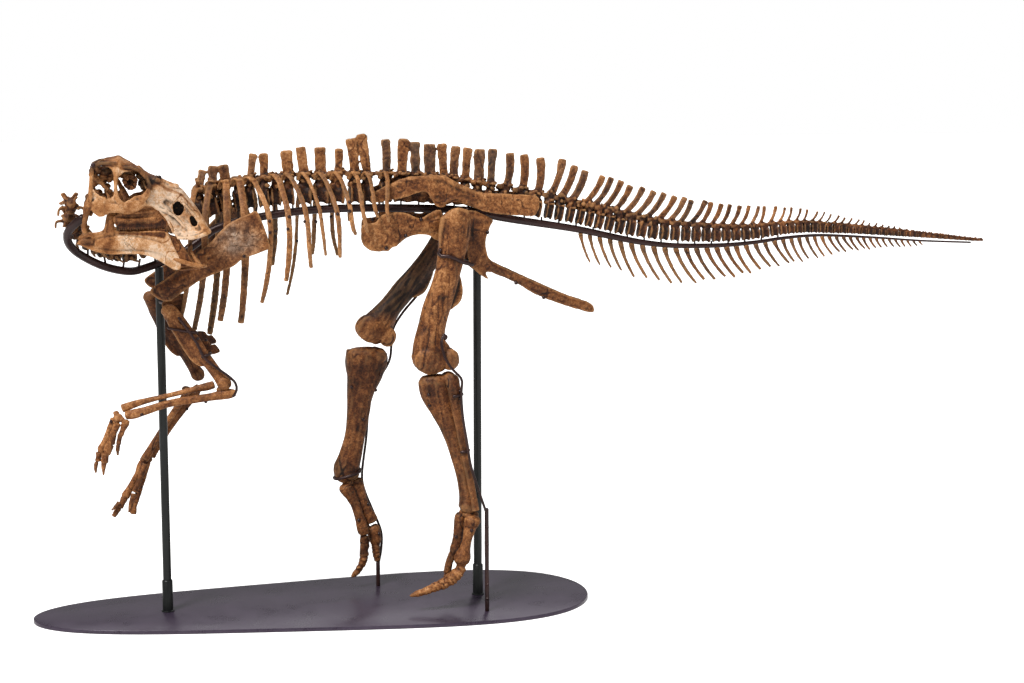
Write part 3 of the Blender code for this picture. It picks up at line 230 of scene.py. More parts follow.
def joined(shells):
    """Points and faces of several shells as one mesh."""
    base, points, faces = 0, [], []
    for shell in shells:
        points.append(shell[0])
        faces += [tuple(i + base for i in face) for face in shell[1]]
        base += len(shell[0])
    return np.vstack(points), faces


def settle(co, edges, times, amount):
    """Move each point towards the middle of its neighbours."""
    count = len(co)
    near = np.maximum(np.bincount(edges.ravel(), minlength=count), 1)
    for _ in range(times):
        mean = np.empty_like(co)
        for k in range(co.shape[1]):
            mean[:, k] = (np.bincount(edges[:, 0], co[edges[:, 1], k], count)
                          + np.bincount(edges[:, 1], co[edges[:, 0], k], count)) / near
        co = co + (mean - co) * amount
    return co


def normals_of(mesh):
    out = np.empty(len(mesh.vertices) * 3, np.float32)
    mesh.vertex_normals.foreach_get("vector", out)
    return out.reshape(-1, 3).astype(float)


def dress(obj, material, nodes):
    """Material, body and replaced nodes of a piece."""
    obj.data.materials.clear()
    obj.data.materials.append(material)
    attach(obj, "root")
    if nodes:
        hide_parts(*nodes)
    return obj


# Surface of the bone: swellings by size, pits, open seams, and the depth that reads as cavity, the
# layer from which the material paints shade into hollows and a highlight onto ridges
SWELL, FINE_SWELL, PIT, SEAM, CAVITY = 0.0009, 0.0005, 0.0009, 0.0011, 0.0032
SKINS = {}  # the points of each finished bone, for the wires that lie on them


def bone(name, nodes, shells, voxel=0.0024, rough=1.0, bend=None, grain=None, slot="bone",
         smooth=2, paint=None):
    """Melt shells into one piece of bone.  bend moves the skin's points after melting;
    grain is the direction the bone's flutes run; paint changes tone and grey by place."""
    voxel *= COARSE
    source = bpy.data.objects.new(name, mesh_from(name, *joined(shells)))
    bpy.context.scene.collection.objects.link(source)
    skin = source.modifiers.new("skin", "REMESH")
    skin.mode = "VOXEL"
    skin.voxel_size = voxel
    skin.adaptivity = 0.0
    graph = bpy.context.evaluated_depsgraph_get()
    mesh = bpy.data.meshes.new_from_object(source.evaluated_get(graph))
    bpy.data.objects.remove(source)
    count = len(mesh.vertices)
    co = np.empty(count * 3, np.float32)
    mesh.vertices.foreach_get("co", co)
    co = co.reshape(-1, 3).astype(float)
    edges = np.empty(len(mesh.edges) * 2, np.int32)
    mesh.edges.foreach_get("vertices", edges)
    edges = edges.reshape(-1, 2)
    co = settle(co, edges, smooth, 0.5)
    # Shade of the nearest shell
    tree = kdtree.KDTree(sum(len(shell[0]) for shell in shells))
    shades, i = [], 0
    for shell in shells:
        for point in shell[0]:
            tree.insert(point, i)
            i += 1
        shades.append(np.tile((shell[2], shell[3]), (len(shell[0]), 1)))
    tree.balance()
    shades = np.vstack(shades)
    nearest = np.array([tree.find(point)[1] for point in co])
    shade = settle(shades[nearest], edges, 2, 0.6)
    if bend is not None:
        co = bend(co)
    mesh.vertices.foreach_set("co", co.astype(np.float32).ravel())
    mesh.update()
    normals = normals_of(mesh)
    place = co.copy()
    if grain is not None:
        grain = np.asarray(grain, float) / np.linalg.norm(grain)
        place -= np.outer(co @ grain, grain) * 0.78
    swell = (SWELL * lumps(place, 0.016, 1) + FINE_SWELL * lumps(place, 0.0065, 2)) * rough
    swell -= PIT * rough * np.clip(lumps(place, 0.011, 3) - 0.45, 0, 1) * 2
    seam = np.clip(1 - np.abs(lumps(place, 0.030, 5)) / 0.075, 0, 1) \
        * np.clip(lumps(co, 0.045, 6) * 4, 0, 1)
    swell -= SEAM * seam * min(rough, 1.0)
    co = co + normals * swell[:, None]
    mesh.vertices.foreach_set("co", co.astype(np.float32).ravel())
    mesh.update()
    # Cavity: how far each point lies below its smoothed surroundings, for painted shade in hollows
    # and a painted highlight on ridges
    broad = settle(co, edges, 9, 0.6)
    cavity = ((broad - co) * normals_of(mesh)).sum(axis=1) / CAVITY
    cavity = settle(np.clip(0.5 + cavity, 0, 1)[:, None], edges, 1, 0.5)[:, 0]
    shade[:, 0] -= 0.26 * seam
    if paint is not None:
        shade = paint(co, shade)
    for key, values in (("tone", shade[:, 0]), ("grey", shade[:, 1]), ("cavity", cavity)):
        layer = mesh.attributes.new(key, "FLOAT", "POINT")
        layer.data.foreach_set("value", np.clip(values, 0, 1).astype(np.float32))
    mesh.polygons.foreach_set("use_smooth", np.ones(len(mesh.polygons), bool))
    mesh.update()
    mesh.name = name
    obj = bpy.data.objects.new(name, mesh)
    bpy.context.scene.collection.objects.link(obj)
    print(f"{name}: {len(mesh.polygons)} faces")
    SKINS[name] = co
    return dress(obj, PALE_BONE if slot == "pale_bone" else BONE, nodes)


def metal(name, nodes, shells, material):
    """A piece of the stand: smooth tubes and turned shapes, left as modelled."""
    points, faces = joined(shells)
    mesh = mesh_from(name, points, faces)
    mesh.polygons.foreach_set("use_smooth", np.ones(len(mesh.polygons), bool))
    obj = bpy.data.objects.new(name, mesh)
    bpy.context.scene.collection.objects.link(obj)
    mesh.set_sharp_from_angle(angle=math.radians(40))
    return dress(obj, material, nodes)


# ------------------------------------------------------------------ materials
class Nodes:
    """Short way to wire up a material."""

    def __init__(self, name):
        self.material = bpy.data.materials.new(name)
        self.material.use_nodes = True
        self.tree = self.material.node_tree
        self.tree.nodes.clear()
        self.out = self.add("ShaderNodeOutputMaterial")
        self.skin = self.add("ShaderNodeBsdfPrincipled")
        self.link(self.skin.outputs[0], self.out.inputs[0])
        self.place = self.add("ShaderNodeTexCoord").outputs["Object"]

    def add(self, kind, **values):
        node = self.tree.nodes.new(kind)
        for key, value in values.items():
            setattr(node, key, value)
        return node

    def link(self, a, b):
        self.tree.links.new(a, b)

    def noise(self, scale, detail=3.0, rough=0.55, distortion=0.0, place=None):
        node = self.add("ShaderNodeTexNoise")
        node.inputs["Scale"].default_value = scale
        node.inputs["Detail"].default_value = detail
        node.inputs["Roughness"].default_value = rough
        node.inputs["Distortion"].default_value = distortion
        self.link(place or self.place, node.inputs["Vector"])
        return node.outputs[0]

    def layer(self, name):
        return self.add("ShaderNodeAttribute", attribute_name=name).outputs["Fac"]

    def math(self, kind, a, b=None, c=None, clamp=False):
        node = self.add("ShaderNodeMath", operation=kind, use_clamp=clamp)
        for socket, value in zip(node.inputs, (a, b, c)):
            if value is None:
                continue
            if isinstance(value, (int, float)):
                socket.default_value = value
            else:
                self.link(value, socket)
        return node.outputs[0]

    def spread(self, value, low, high, to_low=0.0, to_high=1.0):
        node = self.add("ShaderNodeMapRange", clamp=True)
        for socket, number in zip(node.inputs[1:5], (low, high, to_low, to_high)):
            socket.default_value = number
        self.link(value, node.inputs[0])
        return node.outputs[0]

    def ramp(self, value, stops):
        node = self.add("ShaderNodeValToRGB")
        line = node.color_ramp
        while len(line.elements) < len(stops):
            line.elements.new(0.5)
        for element, (spot, colour) in zip(line.elements, stops):
            element.position = spot
            element.color = (*colour, 1)
        self.link(value, node.inputs[0])
        return node.outputs[0]

    def blend(self, share, a, b, kind="MIX"):
        node = self.add("ShaderNodeMix", data_type="RGBA", blend_type=kind)
        for socket, value in zip((node.inputs[0], node.inputs[6], node.inputs[7]), (share, a, b)):
            if isinstance(value, tuple):
                socket.default_value = (*value, 1)
            elif isinstance(value, (int, float)):
                socket.default_value = value
            else:
                self.link(value, socket)
        return node.outputs[2]

    def finish(self, colour, roughness, height=None, depth=0.0006, **values):
        for key, value in values.items():
            self.skin.inputs[key.replace("_", " ").capitalize()
                             if key != "specular" else "Specular IOR Level"].default_value = value
        for key, value in (("Base Color", colour), ("Roughness", roughness)):
            if isinstance(value, (int, float)):
                self.skin.inputs[key].default_value = value
            elif isinstance(value, tuple):
                self.skin.inputs[key].default_value = (*value, 1)
            else:
                self.link(value, self.skin.inputs[key])
        if height is not None:
            bump = self.add("ShaderNodeBump")
            bump.inputs["Strength"].default_value = 0.85
            bump.inputs["Distance"].default_value = depth
            self.link(height, bump.inputs["Height"])
            self.link(bump.outputs[0], self.skin.inputs["Normal"])
        return self.material


# Colours of bone from dark to pale, by tone: the warm ones, and those of greyed bone
BROWNS = ((0.0, (0.005, 0.0015, 0.001)), (0.18, (0.022, 0.006, 0.002)),
          (0.38, (0.078, 0.022, 0.006)), (0.56, (0.200, 0.069, 0.019)),
          (0.74, (0.410, 0.176, 0.060)), (0.90, (0.630, 0.350, 0.175)),
          (1.0, (0.780, 0.560, 0.390)))
GREYS = ((0.0, (0.008, 0.006, 0.005)), (0.3, (0.034, 0.023, 0.018)), (0.6, (0.105, 0.068, 0.048)),
         (0.85, (0.30, 0.215, 0.165)), (1.0, (0.54, 0.44, 0.36)))
# Painted shade for the hollows, also the colour of cracks and pits, and a painted highlight for
# the ridges
HOLLOW_SHADE_AND_CRACK_BROWN, EDGE_HIGHLIGHT_BROWN = (0.016, 0.007, 0.004), (0.60, 0.31, 0.125)


def bone_material(name, strong):
    """Mottled bone; strong scales the mottling. Hollows get painted shade and ridges a painted
    highlight, from the cavity layer.
    """
    n = Nodes(name)
    broad = n.noise(13.0, 3.0, 0.6)
    mottle = n.noise(58.0, 6.0, 0.70, 0.4)
    fleck = n.noise(150.0, 5.0, 0.72, 0.3)
    grain = n.noise(330.0, 3.0, 0.6)
    tone = n.layer("tone")
    tone = n.math("ADD", tone, n.spread(broad, 0.3, 0.7, -0.14, 0.16))
    tone = n.math("ADD", tone, n.spread(mottle, 0.28, 0.72, -0.17 * strong, 0.17 * strong))
    tone = n.math("ADD", tone, n.spread(fleck, 0.30, 0.70, -0.15 * strong, 0.15 * strong))
    tone = n.math("ADD", tone, n.spread(grain, 0.3, 0.7, -0.08, 0.08), clamp=True)
    colour, dull = n.ramp(tone, BROWNS), n.ramp(tone, GREYS)
    patch = n.spread(n.noise(24.0, 4.0, 0.6, 0.3), 0.40, 0.60, 0.0, 1.0)
    colour = n.blend(n.math("MULTIPLY", n.layer("grey"), n.spread(patch, 0, 1, 0.55, 1.0)),
                     colour, dull)
    # Cracks, thin and dark, in patches
    crack = n.math("ABSOLUTE", n.math("SUBTRACT", n.noise(26.0, 5.0, 0.62, 0.5), 0.5))
    crack = n.spread(crack, 0.0, 0.0085, 0.0, 1.0)
    crack = n.math("MAXIMUM", crack, n.spread(n.noise(19.0, 2.0), 0.50, 0.60, 1.0, 0.0))
    holes = n.add("ShaderNodeTexVoronoi")
    holes.inputs["Scale"].default_value = 170.0
    n.link(n.place, holes.inputs["Vector"])
    holes = n.spread(holes.outputs["Distance"], 0.10, 0.24, 0.0, 1.0)
    holes = n.math("MAXIMUM", holes, n.spread(n.noise(31.0, 2.0), 0.50, 0.60, 1.0, 0.0))
    cavity = n.layer("cavity")
    # Painted shade: hollows of the cavity layer darken the colour
    shade = n.spread(cavity, 0.48, 0.77, 1.0, 0.03)
    # Painted highlight: ridges of the cavity layer lighten the colour
    colour = n.blend(n.spread(cavity, 0.46, 0.10, 0.0, 0.42), colour, EDGE_HIGHLIGHT_BROWN)
    # The painted shade is joined by the real cracks and pits
    dark = n.math("MULTIPLY", shade, n.spread(crack, 0, 1, 0.18, 1.0))
    dark = n.math("MULTIPLY", dark, n.spread(holes, 0, 1, 0.35, 1.0))
    colour = n.blend(n.math("SUBTRACT", 1.0, dark, clamp=True), colour, HOLLOW_SHADE_AND_CRACK_BROWN)
    rough = n.spread(mottle, 0.3, 0.7, 0.66, 0.46)
    height = n.math("ADD", n.math("MULTIPLY", mottle, 0.9), n.math("MULTIPLY", grain, 0.35))
    height = n.math("ADD", height, n.math("MULTIPLY", crack, 0.55))
    height = n.math("ADD", height, n.math("MULTIPLY", holes, 0.45))
    return n.finish(colour, rough, height, 0.0016, specular=0.24)


def steel_material(name, low, high, rough_low, rough_high, metallic=0.35, bump=0.00025):
    n = Nodes(name)
    cloud = n.noise(9.0, 4.0, 0.6)
    fine = n.noise(240.0, 3.0, 0.6)
    mix = n.math("ADD", n.math("MULTIPLY", cloud, 0.7), n.math("MULTIPLY", fine, 0.3))
    colour = n.ramp(n.spread(mix, 0.34, 0.66), ((0.0, low), (1.0, high)))
    return n.finish(colour, n.spread(mix, 0.36, 0.64, rough_low, rough_high), fine, bump,
                    metallic=metallic, specular=0.5)


BONE = bone_material("fossil_bone", 1.0)
PALE_BONE = bone_material("pale_fossil_bone", 0.62)
STEEL = steel_material("dark_steel", (0.012, 0.004, 0.004), (0.046, 0.016, 0.013), 0.28, 0.44)
POST = steel_material("post_steel", (0.005, 0.006, 0.006), (0.016, 0.018, 0.017), 0.32, 0.48)
PLATE = steel_material("plate_steel", (0.036, 0.024, 0.044), (0.066, 0.049, 0.077), 0.24, 0.40,
                       0.25, 0.00008)

# ------------------------------------------------------------------ stand
PLATE_LENGTH_HALF, PLATE_WIDTH_HALF, PLATE_THICKNESS = 0.861, 0.2706, 0.012
PLATE_EGG = (0.358, 0.430)
FRONT_POST_X, REAR_POST_X = -0.458, 0.511
POST_RADIUS, SLEEVE_RADIUS, SLEEVE_HEIGHT = 0.0127, 0.0162, 0.098
NECK_TUBE_RADIUS, COLLAR_RADIUS = 0.0122, 0.0142
FRONT_POST_TOP, REAR_POST_TOP = 1.075, 1.209
TUBE = milli((
    (-265, 1196, 12.2), (-148, 1222, 12.2), (-3, 1239, 12.2), (150, 1243, 12.2),
    (334, 1239, 12.2), (443, 1233, 12.2), (527, 1219, 12.2), (625, 1200, 12), (818, 1168, 11),
    (954, 1138, 10), (1044, 1120, 9.2), (1136, 1109, 8.4), (1228, 1106, 7.7), (1320, 1107, 7),
    (1412, 1114, 6.2), (1500, 1125, 5.5), (1579, 1131, 4.9), (1657, 1131, 4.5),
    (1813, 1121, 3.8), (1970, 1108, 3.3), (2142, 1099, 3)
))
NECK_LOOP = milli((
    (-672, -246, 1249), (-694, -234, 1232), (-716, -206, 1206), (-719, -176, 1176),
    (-704, -146, 1148), (-673, -114, 1121), (-631, -80, 1095), (-588, -48, 1077),
    (-541, -20, 1067), (-500, -5, 1074), (-449, 0, 1091), (-395, 0, 1113), (-344, 0, 1147),
    (-305, 0, 1178)
))


def tube_z(x):
    return spread(TUBE, x, 1)


def rod(points, radius, sides=16, step=0.01, cap=0.8):
    return loft([(*p, radius, radius) for p in points], sides=sides, step=step, power=2, cap=cap)


def turned(x, y, profile, sides=40):
    """A turned shape: rows of (height, radius) about an upright axis."""
    angle = 2 * np.pi * np.arange(sides) / sides
    points = np.array([(x + r * math.cos(a), y + r * math.sin(a), z)
                       for z, r in profile for a in angle])
    faces = [(i * sides + k, i * sides + (k + 1) % sides, (i + 1) * sides + (k + 1) % sides,
              (i + 1) * sides + k) for i in range(len(profile) - 1) for k in range(sides)]
    faces += [tuple(range(sides))[::-1], tuple(range(len(points) - sides, len(points)))]
    return points, faces, 0, 0


def make_base():
    count, t = 256, PLATE_THICKNESS
    angle = 2 * np.pi * np.arange(count) / count
    rings = []
    for inset, z in ((0.0012, 0.0), (0.0, 0.0012), (0.0, t - 0.0012), (0.0004, t - 0.0004),
                     (0.0012, t)):
        a, b = PLATE_LENGTH_HALF - inset, PLATE_WIDTH_HALF - inset
        egg = 1 + PLATE_EGG[0] * np.cos(angle) + PLATE_EGG[1] * np.cos(angle) ** 2
        rings.append(np.c_[a * np.cos(angle), b * np.sin(angle) * egg, np.full(count, z)])
    points = np.vstack(rings)
    faces = [(i * count + k, i * count + (k + 1) % count, (i + 1) * count + (k + 1) % count,
              (i + 1) * count + k) for i in range(len(rings) - 1) for k in range(count)]
    faces += [tuple(range(count))[::-1], tuple(range(len(points) - count, len(points)))]
    metal("stand_plate", ["stand_base"], [(points, faces, 0, 0)], PLATE)


def make_posts():
    for name, x, top in (("front", FRONT_POST_X, FRONT_POST_TOP),
                         ("rear", REAR_POST_X, REAR_POST_TOP)):
        z = PLATE_THICKNESS
        foot = [(z, 0.0196), (z + 0.0022, 0.0196), (z + 0.003, 0.0188), (z + 0.004, SLEEVE_RADIUS),
                (z + SLEEVE_HEIGHT - 0.002, SLEEVE_RADIUS),
                (z + SLEEVE_HEIGHT, SLEEVE_RADIUS - 0.0015),
                (z + SLEEVE_HEIGHT, POST_RADIUS), (top, POST_RADIUS)]
        metal(f"stand_{name}_upright", [f"stand_{name}_post"], [turned(x, 0, foot)], POST)


def make_tube():
    rows = [(*p, NECK_TUBE_RADIUS) for p in NECK_LOOP] + [(x, 0, z, r) for x, z, r in TUBE]
    shells = [loft(rows, sides=28, step=0.008, power=2)]
    # Small uprights that carry the vertebrae on the tube
    for x in np.arange(-0.22, 1.50, 0.055):
        top = column_z(x) - body_height(x) * 0.45
        shells.append(rod([(x, 0, tube_z(x)), (x, 0, max(top, tube_z(x) + 0.002))], 0.0028, 10))
    for (x, y, z), (ux, uy, uz) in (((-0.613, -0.068, 1.088), (-0.618, -0.072, 1.116)),
                                    ((-0.565, -0.034, 1.073), (-0.560, -0.036, 1.104)),
                                    ((-0.520, -0.012, 1.070), (-0.514, -0.018, 1.102)),
                                    ((-0.665, -0.108, 1.117), (-0.664, -0.104, 1.146)),
                                    ((-0.470, -0.001, 1.084), (-0.468, -0.006, 1.132)),
                                    ((-0.400, 0.000, 1.110), (-0.404, -0.002, 1.190))):
        shells.append(rod([(x, y, z), (ux, uy, uz)], 0.0034, 10))
    # Collar where the tube meets the rear post
    shells.append(loft([(REAR_POST_X - 0.034, 0, 1.2295, COLLAR_RADIUS),
                        (REAR_POST_X + 0.03, 0, 1.2165, COLLAR_RADIUS)], sides=28, power=2))
    metal("stand_spine_rail", ["stand_spine_tube"], shells, STEEL)


# Rods, wires, bars and the strap: lengths of (radius, places)
WIRE_RADIUS, FOOT_ROD_RADIUS = 4, 6.5  # in millimetres, as in the table
WIRES = milli({
    "stand_leg_rod_left": (
        (FOOT_ROD_RADIUS, ((504, -195, 12.5), (503, -195, 332))),
        (WIRE_RADIUS,
         ((503, -196, 318), (481, -206, 382), (454, -204, 468), (443, -200, 539),
          (430, -198, 622), (425, -200, 692), (427, -202, 720), (424, -202, 742),
          (394, -198, 775), (376, -190, 810), (368, -180, 850), (378, -172, 872)))
    ),
    "stand_leg_rod_right": (
        (FOOT_ROD_RADIUS, ((214, 158, 12.5), (214, 158, 88))),
        (WIRE_RADIUS,
         ((214, 163, 76), (226, 170, 130), (226, 168, 190), (199, 168, 262), (173, 162, 330),
          (166, 158, 385), (180, 154, 500), (190, 154, 600), (218, 151, 680), (254, 144, 745),
          (262, 142, 800), (268, 140, 850), (298, 136, 900), (340, 130, 950)))
    ),
    "stand_arm_wire_left": (
        (WIRE_RADIUS,
         ((-409, -152, 941), (-387, -156, 911), (-357, -162, 864), (-341, -166, 828),
          (-310, -172, 798), (-270, -178, 768), (-249, -180, 746), (-246, -180, 724),
          (-256, -178, 706))),
    ),
    "stand_femur_strap": (
        (6,
         ((362, -170, 1130), (358, -170, 1118), (368, -170, 1110), (390, -170, 1104),
          (412, -170, 1097), (438, -170, 1089), (474, -124, 1076))),
    ),
    "stand_hip_bar_left": ((5, ((495, -4, 1074), (470, -40, 1080), (448, -88, 1088))),),
    "stand_hip_bar_right": ((5, ((496, 4, 1106), (470, 38, 1110), (440, 76, 1118))),),
    "stand_shoulder_bar_left": ((5.5, ((-458, -14, 972), (-440, -86.8, 974))),),
    "stand_shoulder_bar_right": ((5.5, ((-458, 14, 972), (-448, 86.8, 974))),),
})
# Wires bound round the bones: the pieces they hold, a place inside, the way the bone runs, how
# far out its skin is looked for, the wire's radius, and the X beyond which the wire is left out
BANDS = milli((
    (("humerus_left_bone",), (-412, -134, 905), (200, 0, 1000), 60, 4, -500),
    (("humerus_left_bone",), (-352, -140, 820), (350, 0, -1000), 50, 4.2, -362),
    (("tibia_left_bone", "fibula_left_bone"), (390, -140, 684), (60, 0, -420), 110, 5, 382),
    (("tibia_left_bone", "fibula_left_bone"), (424, -145, 511), (60, 0, -420), 80, 4.8, 414),
    (("tibia_right_bone", "fibula_right_bone"), (125, 148, 388), (-120, 0, 420), 90, 5, 0)
))
# Screws and clamps whose dark heads show: the plane y they were read on, the head's radius, and
# their places (x, z) on that plane
KNOBS = milli((
    (-150, 9.5, ((387, 859),)),
    (-150, 5.6,
     ((336, 648), (332, 684), (96, 717), (135, 616), (176, 702), (191, 749), (433, 691),
      (433, 670), (149, 354), (114, 304), (181, 260), (412, 240), (467, 255))),
    (-80, 6,
     ((178, 1212), (220, 1124), (281, 1164), (324, 1216), (531, 1166), (618, 1008), (706, 962))),
    (-150, 5.2,
     ((-353, 879), (-330, 876), (-335, 679), (-522, 652), (-616, 637), (-388, 666), (-217, 1117))),
    (-150, 5,
     ((-38, 1217), (-55, 1160), (-87, 1198), (-119, 1189), (-136, 1224), (-140, 1189),
      (65, 1242), (41, 1230), (11, 1287), (2, 1216), (-77, 1235), (98, 1250), (101, 1277))),
    (-246, 6.6, ((-455, 1363), (-644, 1400)))
))
FOOT_BOLTS = milli((
    (504, -201, 277), (504, -201, 223), (504, -201, 97), (504, -201, 53)
))
EYE = np.array((-0.6015, -6.0542, 1.742))  # where the photograph was taken from


def on_bone(point, skin, near=0.004, far=0.014):
    """The spot of bone seen behind or in front of a point, and the way back to the eye."""
    way = np.asarray(point, float) - EYE
    way /= np.linalg.norm(way)
    reach = skin - EYE
    along = reach @ way
    off = np.linalg.norm(reach - np.outer(along, way), axis=1)
    if off.min() > far:
        return None, way
    pick = int(np.argmin(np.where(off < near, along, 1e6)) if off.min() < near
               else np.argmin(off))
    return skin[pick], way


def band(names, centre, axis, reach, radius, cut):
    """A wire drawn tight round a bone, on the hull of its section, where X is above cut."""
    axis = np.array(axis) / np.linalg.norm(axis)
    near = np.vstack([SKINS[name] for name in names]) - centre
    level = near @ axis
    away = np.linalg.norm(near - np.outer(level, axis), axis=1)
    near = near[(np.abs(level) < 0.0035) & (away < reach)]
    u = np.cross(axis, (0, 1, 0))
    u /= np.linalg.norm(u)
    v = np.cross(axis, u)
    ring = []
    for angle in np.linspace(0, 2 * math.pi, 28, endpoint=False):
        way = math.cos(angle) * u + math.sin(angle) * v
        far = near[int(np.argmax(near @ way))]
        far = far - (far @ axis) * axis + way * radius * 0.6
        if not ring or np.linalg.norm(far - ring[-1]) > 0.004:
            ring.append(far)
    ring = np.array(ring) + centre
    keep = ring[:, 0] > cut
    if keep.all():
        return rod(list(ring) + [ring[0], ring[1]], radius, 10, step=0.004)
    start = int(np.argmax(keep & ~np.roll(keep, 1)))
    return rod(np.roll(ring, -start, axis=0)[:int(keep.sum())], radius, 10, step=0.004)


def make_wires():
    for name, lengths in WIRES.items():
        if name == "stand_femur_strap":
            # All but the strap's last place are laid on the skin of the left femur
            (radius, points), = lengths
            skin, sunk = SKINS["femur_left_bone"], np.array((0, -radius * 0.7, 0))
            laid = [on_bone(spot, skin, 0.006, 0.05)[0] + sunk for spot in points[:-1]]
            lengths = [(radius, laid + [points[-1]])]
        metal(name.replace("stand_", "stand_made_"), [name],
              [rod(points, radius) for radius, points in lengths], STEEL)
    shells = [band(*row) for row in BANDS]
    skin = np.vstack(list(SKINS.values()))
    for y, radius, places in KNOBS:
        for x, z in places:
            spot, way = on_bone((x, y, z), skin)
            if spot is None:
                continue
            spot = spot - way * radius * 0.35
            shells.append(blob(spot, (radius, radius * 0.9, radius)))
            shells.append(rod([spot, spot + way * (radius + 0.010)], radius * 0.5, 10))
    for x, y, z in FOOT_BOLTS:
        shells.append(blob((x, y, z), (0.0052, 0.0052, 0.0052)))
        shells.append(rod([(x, y, z), (x, y + 0.012, z)], 0.003, 10))
    metal("stand_fittings", [], shells, STEEL)


# ------------------------------------------------------------------ backbone
COLUMN = milli((
    (-380, 1233, 60), (-300, 1255, 63), (-180, 1276, 62), (-50, 1286, 62), (150, 1288, 61),
    (300, 1287, 58), (450, 1276, 56), (600, 1251, 58), (800, 1215.5, 58), (1000, 1168.5, 55),
    (1100, 1151, 50), (1200, 1142, 47), (1300, 1138, 43), (1400, 1141, 39), (1500, 1152.5, 35),
    (1580, 1155.5, 32), (1656, 1151.5, 29), (1734, 1146.5, 25), (1838, 1137, 21),
    (1942, 1127.5, 17), (2049, 1117, 12.5), (2150, 1107, 8), (2200, 1104, 6)
))
# Place along X, tip of the spine (X, Z), its width, and the shade of the spine (tone, grey)
TRUNK_VERTEBRAE = milli((
    (-335, -322, 1364, 25, 520, 600), (-296, -292, 1376, 27, 500, 600),
    (-256, -263, 1379, 33, 460, 400), (-218, -218, 1345, 0, 400, 0),
    (-184, -172, 1411, 24, 620, 300), (-142, -140, 1412, 28, 520, 0),
    (-106, -106, 1345, 0, 400, 0), (-68, -73, 1420, 36, 600, 0), (-20, -29, 1430, 34, 540, 0),
    (30, 30, 1428, 38, 540, 0), (79, 87, 1424, 26, 540, 0), (134, 123, 1453, 33, 520, 0),
    (171, 155, 1467, 31, 540, 0), (229, 229, 1450, 29, 420, 700)
))
SACRAL_VERTEBRAE = milli((
    (275, 286, 1451, 34, 530, 0), (319, 320, 1442, 31, 420, 800), (364, 364, 1435, 40, 440, 600),
    (406, 403, 1436, 29, 490, 0), (435, 447, 1427, 30, 460, 300), (472, 484, 1422, 30, 480, 100),
    (514, 521, 1418, 34, 440, 600), (552, 562, 1418, 29, 420, 800)
))
TAIL_ROOT_VERTEBRAE = milli((
    (598, 614, 1405, 28, 440, 400), (648, 659, 1400, 28, 500, 0), (697, 711, 1390, 28, 460, 200),
    (738, 782, 1385, 25, 520, 300), (771, 821, 1364, 24, 440, 200),
    (806, 854, 1348, 22, 400, 600)
))
TAIL_FIRST, TAIL_LAST = 0.838, 2.188
TAIL_PITCH = milli((
    (838, 30), (900, 33), (1050, 37), (1200, 33.5), (1450, 31), (1500, 27), (1750, 22.5),
    (2190, 18)
))
SPINE_LEAN = milli((
    (838, 68), (1050, 70), (1150, 60), (1250, 48), (1350, 42), (1450, 34), (1700, 28),
    (1900, 16), (2200, 8)
))
SPINE_TOP = milli((
    (880, 1340), (930, 1328), (1000, 1302), (1070, 1281), (1150, 1263), (1250, 1245),
    (1350, 1232), (1450, 1229), (1540, 1221), (1620, 1209), (1700, 1190), (1780, 1174),
    (1900, 1151), (2050, 1129), (2200, 1106.5)
))
SPINE_WIDTH = milli((
    (838, 18), (1100, 16), (1350, 11), (1500, 8), (1700, 5), (2200, 3)
))
SPINE_BACK = milli((
    (838, 22), (1400, 15), (1700, 10), (2200, 3)
))
CHEVRON_LAST = 1.975
CHEVRON_LEAN = milli((
    (838, 34), (1000, 52), (1100, 62), (1200, 64), (1300, 58), (1450, 48), (1600, 40),
    (1750, 30), (1850, 16), (1980, 11)
))
CHEVRON_LOW = milli((
    (870, 1057), (940, 1036), (1020, 1009), (1100, 989), (1170, 982), (1260, 988), (1350, 1003),
    (1450, 1025), (1550, 1045), (1650, 1062), (1750, 1077), (1850, 1085), (1980, 1089)
))
TAIL_SPLITS = (1.160, 1.640)
# Along the tail: how much the vertebrae vary, the gaps between their bodies, how they pale, the
# thickness of the spines and the growth of their width, the side processes' reach, and half the
# chevrons' width
TAIL_FINE = milli(((600, 1000), (1500, 900), (1700, 600), (2200, 250)))
BODY_GAP = milli(((600, 13), (1000, 12.5), (1200, 11), (1500, 6.5), (1800, 3.6), (2200, 2.2)))
TAIL_PALER = milli(((900, 0), (1400, 20), (2200, 40)))
SPINE_THICK = milli(((600, 8.5), (1100, 6.5), (1500, 4.2), (1800, 3.0), (2200, 2.2)))
SPINE_GROW = milli(((700, 1000), (850, 1220), (1500, 1300), (1900, 1550)))
WING_REACH, WING_LAST = milli(((600, 50), (850, 36), (1000, 20))), 1.0
CHEVRON_HALF = milli(((850, 5.0), (980, 6.2), (1300, 6.2), (1600, 4.8), (2000, 3.2)))


# Height of the arches' joints over the top of the bodies
ARCH = milli((
    (-380, 28), (150, 27), (300, 29), (620, 22), (840, 14), (1200, 11), (1500, 6), (1700, 3),
    (2200, 1)
))


def column_z(x):
    return float(spread(COLUMN, x, 1))


def body_height(x):
    return float(spread(COLUMN, x, 2))


def body_half_width(x):
    return max(0.42 * body_height(x), 0.0016)


def arch_z(x):
    """Height of the row of joints between the neural arches."""
    return column_z(x) + body_height(x) * 0.5 + float(at(ARCH, x))


